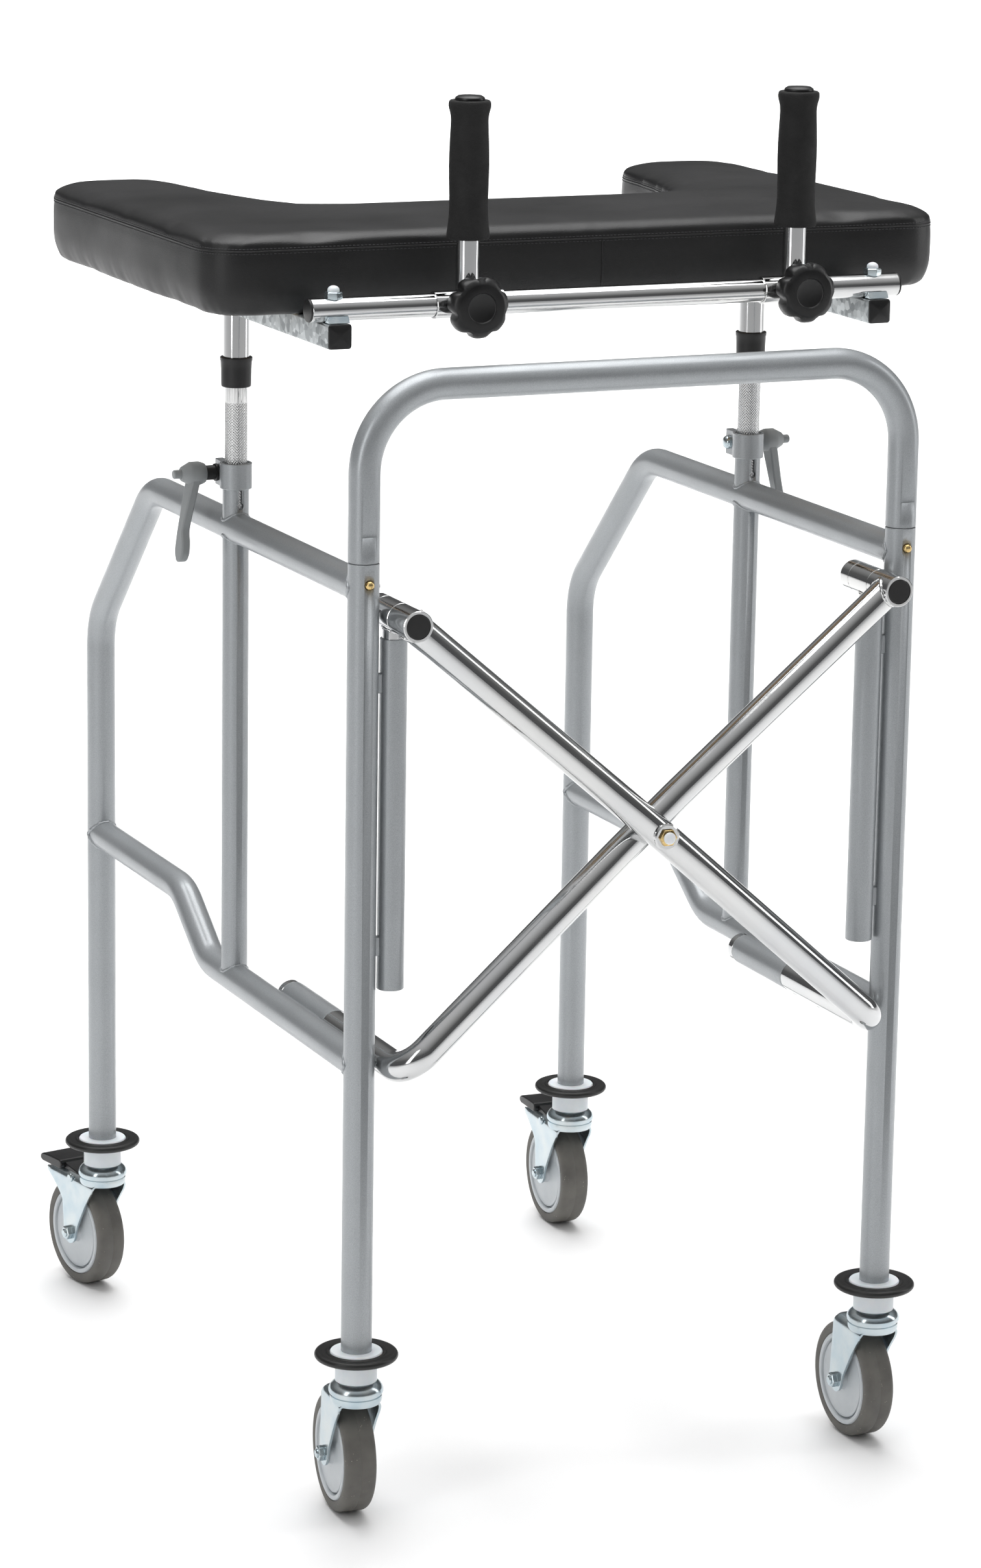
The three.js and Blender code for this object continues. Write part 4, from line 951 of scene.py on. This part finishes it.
grip_foam = foam()
for side, sign in SIDES:
    x, body = GRIP_X[side], f"grip_{side}"
    sleeve = tube(f"grip_sleeve_{side}", [(x - SLEEVE_HALF, CROSS_Y, CROSS_Z),
        (x + SLEEVE_HALF, CROSS_Y, CROSS_Z)], (0, 0, 1), GRIP_SLEEVE, 0.00975, chrome, body, 48)
    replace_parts(sleeve, f"grip_stem_{side}")
    round_stock(f"grip_stalk_{side}", [[0, 1.0062], [POST_RADIUS, 1.0062], [POST_RADIUS, 1.159],
        [0.009, 1.1596], [0, 1.1596]], (x, CROSS_Y, 0), (0, 0, 1), chrome, body, 48)
    weld(f"weld_grip_{side}", (x, CROSS_Y, CROSS_Z), (0, 0, 1), (0, 1, 0), GRIP_SLEEVE, POST_RADIUS,
        chrome, body, 0.001)
    soften(round_stock(f"grip_screw_nut_{side}", [[0, -0.0121], [0.0072, -0.0121], [0.0078, -0.0117],
        [0.0078, -0.0096], [0, -0.0096]], (x, CROSS_Y, CROSS_Z), (0, 1, 0), chrome, body, 6), 0.0003)
    grip_line = np.array([[POST_RADIUS, 1.048], [0.0162, 1.048], [0.017, 1.0484], [0.0174, 1.0494],
        [0.0174, 1.051], [0.017, 1.0545], [0.0164, 1.059], [0.0158, 1.065], [0.0155, 1.073],
        [0.0156, 1.082], [0.0159, 1.094], [0.0161, 1.105], [0.016, 1.116], [0.0156, 1.127],
        [0.0152, 1.136], [0.015, 1.142], [0.0153, 1.146], [0.016, 1.1492], [0.0167, 1.1515],
        [0.017, 1.1535], [0.017, 1.1553], [0.0166, 1.157], [0.0156, 1.158], [POST_RADIUS, 1.158]])
    made = round_stock(f"foam_sleeve_{side}", grip_line, (x, CROSS_Y, 0), (0, 0, 1), grip_foam, body, 56,
        50.0)
    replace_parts(made, f"grip_foam_{side}")
    round_stock(f"grip_plug_{side}", [[0, 1.1575], [0.0112, 1.1575], [0.0122, 1.1586], [0.0118, 1.1602],
        [0.0095, 1.1617], [0, 1.1624]], (x, CROSS_Y, 0), (0, 0, 1), black_plastic, body, 48)
    knob = lobed_knob(f"knob_star_{side}", (x, FRONT_Y + 0.033, CROSS_Z), f"knob_{side}")
    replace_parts(knob, f"star_knob_{side}")


# Forearm pad: foam on a board under black upholstery vinyl, a U open to the back. The vinyl folds
# over the top edge to a top-stitched seam, joins at the middle of the front, and is stapled below.
PAD_FLOOR = 0.9863
SEAM_Z = 1.0395
PAD_FRONT = FRONT_Y + 0.097
OUTLINE_POINTS = 720
STAPLES = 74
JOIN_X = 0.011


def pad_outline(inset, steps=14):
    """The U of the pad seen from above, set in by inset along its own normals. Each corner is rounded
    by a parabola; the two prongs close toward the cut-out's flat front edge."""
    half = [(0.335, PAD_FRONT, 0.045), (0.335, FRONT_Y + 0.526, 0.058), (0.215, FRONT_Y + 0.526, 0.044),
        (0.201, FRONT_Y + 0.395, 0.06), (0.17, FRONT_Y + 0.303, 0.058)]
    corners = np.array(half + [(-x, y, r) for x, y, r in reversed(half)])
    line = smooth_outline(corners[:, :2], corners[:, 2], steps)
    closed = np.concatenate([line, line[:1]])
    run = np.concatenate([[0], np.cumsum(np.linalg.norm(np.diff(closed, axis=0), axis=1))])
    even = np.linspace(0, run[-1], OUTLINE_POINTS, endpoint=False)
    line = np.stack([np.interp(even, run, closed[:, 0]), np.interp(even, run, closed[:, 1])], -1)
    way = unit(np.roll(line, -1, 0) - np.roll(line, 1, 0))
    outward = np.stack([way[:, 1], -way[:, 0]], -1)
    return line - inset * outward, outward, way


def vinyl():
    """Black upholstery vinyl: a pebbled grain, soft creases under it, and a shine that comes and goes."""
    material, nodes, links, shader, where = finish_nodes("vinyl")
    cloud = mottle(nodes, links, where, 11.0, 5.0)
    links.new(ramp(nodes, links, cloud, 0.3, 0.7, (0.004, 0.004, 0.0043), (0.008, 0.008, 0.0084)),
        shader.inputs["Base Color"])
    links.new(spread(nodes, links, cloud, 0.3, 0.7, 0.36, 0.5), shader.inputs["Roughness"])
    creases = mottle(nodes, links, where, 7.0, 3.0)
    coarse = relief(nodes, links, shader, creases, 0.25, 0.006)
    pebbles = mottle(nodes, links, where, 1050.0, kind="ShaderNodeTexVoronoi")
    relief(nodes, links, shader, pebbles, 0.22, 0.0004, coarse)
    return material, "vinyl"


def board_wood():
    """Chipboard edge and face under the pad: brown chips of several shades."""
    return surface("pad_board", (240.0, 6.0), (0.35, 0.65, (0.13, 0.085, 0.05), (0.33, 0.24, 0.15)),
        (0.3, 0.7, 0.65, 0.85), (240.0, 6.0, 0.3, 0.0006), slot="vinyl")


def places(mesh):
    """Where a mesh's vertices are, one row each."""
    flat = np.zeros(len(mesh.vertices) * 3)
    mesh.vertices.foreach_get("co", flat)
    return flat.reshape(-1, 3)


def stuffed(work, steps, most_out, most_up):
    """Lets a closed cover swell under pressure with cloth simulation, then keeps every point within
    most_out of where it started sideways and below it, and within most_up above it."""
    start = places(work.data)
    cloth = work.modifiers.new("cover", "CLOTH")
    cloth.settings.use_pressure = True
    cloth.settings.uniform_pressure_force = 4.0
    cloth.settings.quality = 6
    cloth.settings.mass = 0.3
    cloth.settings.effector_weights.gravity = 0.0
    cloth.collision_settings.use_collision = False
    cloth.point_cache.frame_start = 1
    cloth.point_cache.frame_end = steps
    for number in range(1, steps + 1):
        bpy.context.scene.frame_set(number)
    move = places(work.evaluated_get(bpy.context.evaluated_depsgraph_get()).data) - start
    work.modifiers.clear()
    bpy.context.scene.frame_set(1)
    sideways = np.linalg.norm(move[:, :2], axis=1, keepdims=True)
    move[:, :2] *= np.minimum(1, most_out / np.maximum(sideways, 1e-9))
    move[:, 2] = np.clip(move[:, 2], -most_out, most_up)
    return start, move


pad_vinyl = vinyl()
chipboard = board_wood()
skin_line, _, _ = pad_outline(0.0032)
floor_z, lid_z = PAD_FLOOR + 0.0012, 1.0468
cover = plate("pad_cover", skin_line[::3], floor_z, lid_z, pad_vinyl, "platform", lambda p: p, 0)
remesh = cover.modifiers.new("even", "REMESH")
remesh.mode = "VOXEL"
remesh.voxel_size = 0.0055
settled(cover)
rest, swell = stuffed(cover, 20, 0.0035, 0.006)

edge_line, edge_out, _ = pad_outline(0.0)
parts = np.array_split(rest, max(1, len(rest) // 2000))
gaps = np.concatenate([((part[:, None, :2] - edge_line[None, ::4]) ** 2).sum(-1) for part in parts])
nearest = np.sqrt(gaps.min(1))
inward = -edge_out[::4][gaps.argmin(1)]
upper = np.clip((rest[:, 2] - SEAM_Z) / (lid_z - SEAM_Z), 0, 1)
crown = 0.0046 * (1 - np.exp(-nearest / 0.04)) * upper
roll_over = -0.0026 * np.exp(-nearest / 0.0035) * upper
dimple = 0.0016 * np.exp(-(((rest[:, 2] - SEAM_Z) / 0.003) ** 2)) * (nearest < 0.012)
shape = rest + 0.55 * swell
shape[:, 2] += crown + roll_over
scallop = np.exp(-np.clip(rest[:, 2] - floor_z, 0, None) / 0.006) * (nearest < 0.012)
wave = 0.5 + 0.5 * np.cos(gaps.argmin(1) / gaps.shape[1] * 2 * np.pi * STAPLES)
under = np.exp(-(np.clip(rest[:, 2] - floor_z, 0, None) / 0.011) ** 2) * np.exp(-nearest / 0.02)
shape[:, :2] += inward * (dimple + 0.0022 * scallop * wave + 0.0065 * under)[:, None]
shape[:, 2] -= 0.0009 * scallop * wave
shape[:, 2] = np.maximum(shape[:, 2], PAD_FLOOR)
cover.data.vertices.foreach_set("co", shape.ravel())
cover.data.materials.clear()
cover.data.materials.append(pad_vinyl[0])
cover.data.shade_smooth()
smooth = cover.modifiers.new("ease", "SMOOTH")
smooth.factor = 0.5
smooth.iterations = 2
settled(cover)
fine = cover.modifiers.new("fine", "SUBSURF")
fine.levels = fine.render_levels = 1
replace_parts(cover, "forearm_pad")

board_line, _, _ = pad_outline(0.022)
plate("pad_board", board_line[::3], PAD_FLOOR - 0.0002, PAD_FLOOR + 0.006, chipboard, "platform",
    lambda p: p, 0)


def thread():
    """Bonded sewing thread, dark grey, with the twist of its plies."""
    return surface("thread", (2600.0, 2.0), (0.35, 0.65, (0.012, 0.012, 0.013), (0.055, 0.055, 0.058)),
        (0.3, 0.7, 0.5, 0.7), (2600.0, 2.0, 0.3, 0.0002), slot="vinyl")


bpy.context.view_layer.update()
cover_tree = BVHTree.FromObject(cover, bpy.context.evaluated_depsgraph_get())


def on_cover(points, outward):
    """Drops each point onto the cover along its inward direction."""
    found = [cover_tree.ray_cast(Vector(p + o * 0.03), Vector(-o)) for p, o in zip(points, outward)]
    return np.array([hit[0] if hit[0] is not None else p for hit, p in zip(found, points)], float)


def dashes(name, spots, way, outward, length, radius, finish):
    """A row of stitches: each a short six-sided bead, thick in the middle, laid along the seam."""
    along = np.array([-0.5, -0.3, 0.0, 0.3, 0.5]) * length
    girth = np.array([0.0, 0.85, 1.0, 0.85, 0.0]) * radius
    turn = np.linspace(0, 2 * np.pi, 6, endpoint=False)
    side = np.cross(way, outward)
    ring = (np.cos(turn)[None, :, None] * outward[:, None] + np.sin(turn)[None, :, None] * side[:, None])
    skin = (spots[:, None, None] + along[None, :, None, None] * way[:, None, None] + girth[None, :, None,
        None] * ring[:, None])
    rings, sides = len(along), len(turn)
    one = wrapped_quads(rings, sides)[: (rings - 1) * sides]
    first = np.arange(len(spots)) * rings * sides
    faces = (one[None] + first[:, None, None]).reshape(-1, 4)
    return piece(name, skin, faces, finish, "platform", 60.0)


seam_thread = thread()
line, outward, way = pad_outline(0.0)
outward3 = np.column_stack([outward, np.zeros(len(line))])
way3 = np.column_stack([way, np.zeros(len(line))])
for row, height in (("upper", SEAM_Z + 0.0014), ("lower", SEAM_Z - 0.0026)):
    level = np.column_stack([line, np.full(len(line), height)])
    spots = on_cover(level, outward3)
    dashes(f"stitches_{row}", spots + outward3 * 0.0001, way3, outward3, 0.003, 0.00042, seam_thread)
level = np.column_stack([line, np.full(len(line), SEAM_Z - 0.0006)])
lip = on_cover(level, outward3)
lip = (np.roll(lip, 1, 0) + lip + np.roll(lip, -1, 0)) / 3
run = headings(lip, closed=True)
over = unit(np.cross(run, np.cross(outward3, run)))
turn = np.linspace(0, 2 * np.pi, 8, endpoint=False)[None, :, None]
bead = lip[:, None] + 0.00075 * (np.cos(turn) * over[:, None] + np.sin(turn) * np.cross(run, over)[:,
    None])
skinned("seam_lip", bead, pad_vinyl, "platform", 60.0)
rise = np.linspace(PAD_FLOOR + 0.004, SEAM_Z - 0.001, 24)
middle = np.column_stack([np.full_like(rise, JOIN_X), np.full_like(rise, PAD_FRONT), rise])
front = on_cover(middle, np.tile((0.0, -1.0, 0.0), (len(rise), 1)))
girth = np.full(len(rise), 0.0009)
girth[[0, -1]] = 0
join = carried(front, girth, (1, 0, 0), 10)
skinned("front_join", join, pad_vinyl, "platform", 60.0)


# Studio: a plain pale floor, soft light from above and both sides, and the camera. Two large lamps
# far behind keep the floor even, and are left out of reflections.


def floor_paint():
    """Pale matt floor, very slightly uneven."""
    material, nodes, links, shader, where = finish_nodes("studio_floor")
    cloud = mottle(nodes, links, where, 1.2, 2.0)
    links.new(ramp(nodes, links, cloud, 0.3, 0.7, (0.9, 0.9, 0.9), (0.93, 0.93, 0.93)),
        shader.inputs["Base Color"])
    shader.inputs["Roughness"].default_value = 0.9
    return material, "studio_floor"


floor = piece("studio_floor", block_points((-60, -60, -0.02), (60, 60, 0.0)), BLOCK_FACES, floor_paint(),
    None)

world = bpy.data.worlds.new("studio")
bpy.context.scene.world = world
world.use_nodes = True
sky, wires = world.node_tree.nodes, world.node_tree.links
view = sky.new("ShaderNodeTexCoord")
split = sky.new("ShaderNodeSeparateXYZ")
wires.new(view.outputs["Generated"], split.inputs["Vector"])
walls = sky.new("ShaderNodeValToRGB")
walls.color_ramp.elements[0].position = 0.0
walls.color_ramp.elements[0].color = (0.1, 0.1, 0.105, 1)
walls.color_ramp.elements[1].position = 1.0
walls.color_ramp.elements[1].color = (0.85, 0.85, 0.86, 1)
for place, grey in ((0.3, 0.13), (0.6, 0.42)):
    step = walls.color_ramp.elements.new(place)
    step.color = (grey, grey, grey, 1)
wires.new(split.outputs["Z"], walls.inputs["Fac"])
wires.new(walls.outputs["Color"], sky["Background"].inputs["Color"])
sky["Background"].inputs["Strength"].default_value = 0.9


def lamp(name, place, target, size, power):
    """A square softbox at place, facing target."""
    light = bpy.data.lights.new(name, "AREA")
    light.shape = "RECTANGLE"
    light.size, light.size_y = size
    light.energy = power
    made = bpy.data.objects.new(name, light)
    facing = (Vector(target) - Vector(place)).to_track_quat("-Z", "Y").to_matrix().to_4x4()
    made.matrix_world = Matrix.Translation(place) @ facing
    bpy.context.scene.collection.objects.link(made)
    return made


lamp("overhead", (0.0, 0.2, 3.4), (0, 0.2, 0), (3.0, 2.6), 80)
lamp("left_box", (-3.0, -1.6, 1.7), (0, 0, 0.8), (0.7, 2.6), 20)
lamp("right_box", (3.0, -0.9, 1.6), (0, 0, 0.7), (0.6, 2.6), 16)
FLOOR_LAMPS = (("far", (2.0, 7.0, 5.5), (8.0, 6.0), 560), ("farther", (6.0, 17.0, 8.0), (16.0, 12.0),
    2300))
for word, place, size, power in FLOOR_LAMPS:
    lamp(f"{word}_floor", place, (place[0], place[1], 0), size, power).visible_glossy = False

EYE = (-1.70064, FRONT_Y - 3.51335, 1.5326)
AZIMUTH, ELEVATION, ROLL = -24.12, 13.4, 0.9
camera_data = bpy.data.cameras.new("camera")
camera_data.lens = 112.75
camera_data.sensor_width = 36.0
camera_data.clip_end = 200.0
azimuth, elevation, roll = (math.radians(a) for a in (AZIMUTH, ELEVATION, ROLL))
back = np.array([math.sin(azimuth) * math.cos(elevation), -math.cos(azimuth) * math.cos(elevation),
    math.sin(elevation)])
right = np.array([math.cos(azimuth), math.sin(azimuth), 0.0])
up = np.cross(back, right)
tilted_right = right * math.cos(roll) + up * math.sin(roll)
tilted_up = up * math.cos(roll) - right * math.sin(roll)
camera = bpy.data.objects.new("camera", camera_data)
pose = np.eye(4)
pose[:3, 0], pose[:3, 1], pose[:3, 2] = tilted_right, tilted_up, back
pose[:3, 3] = EYE
camera.matrix_world = Matrix(pose.tolist())
bpy.context.scene.collection.objects.link(camera)
bpy.context.scene.camera = camera
bpy.context.scene.view_settings.view_transform = "Standard"
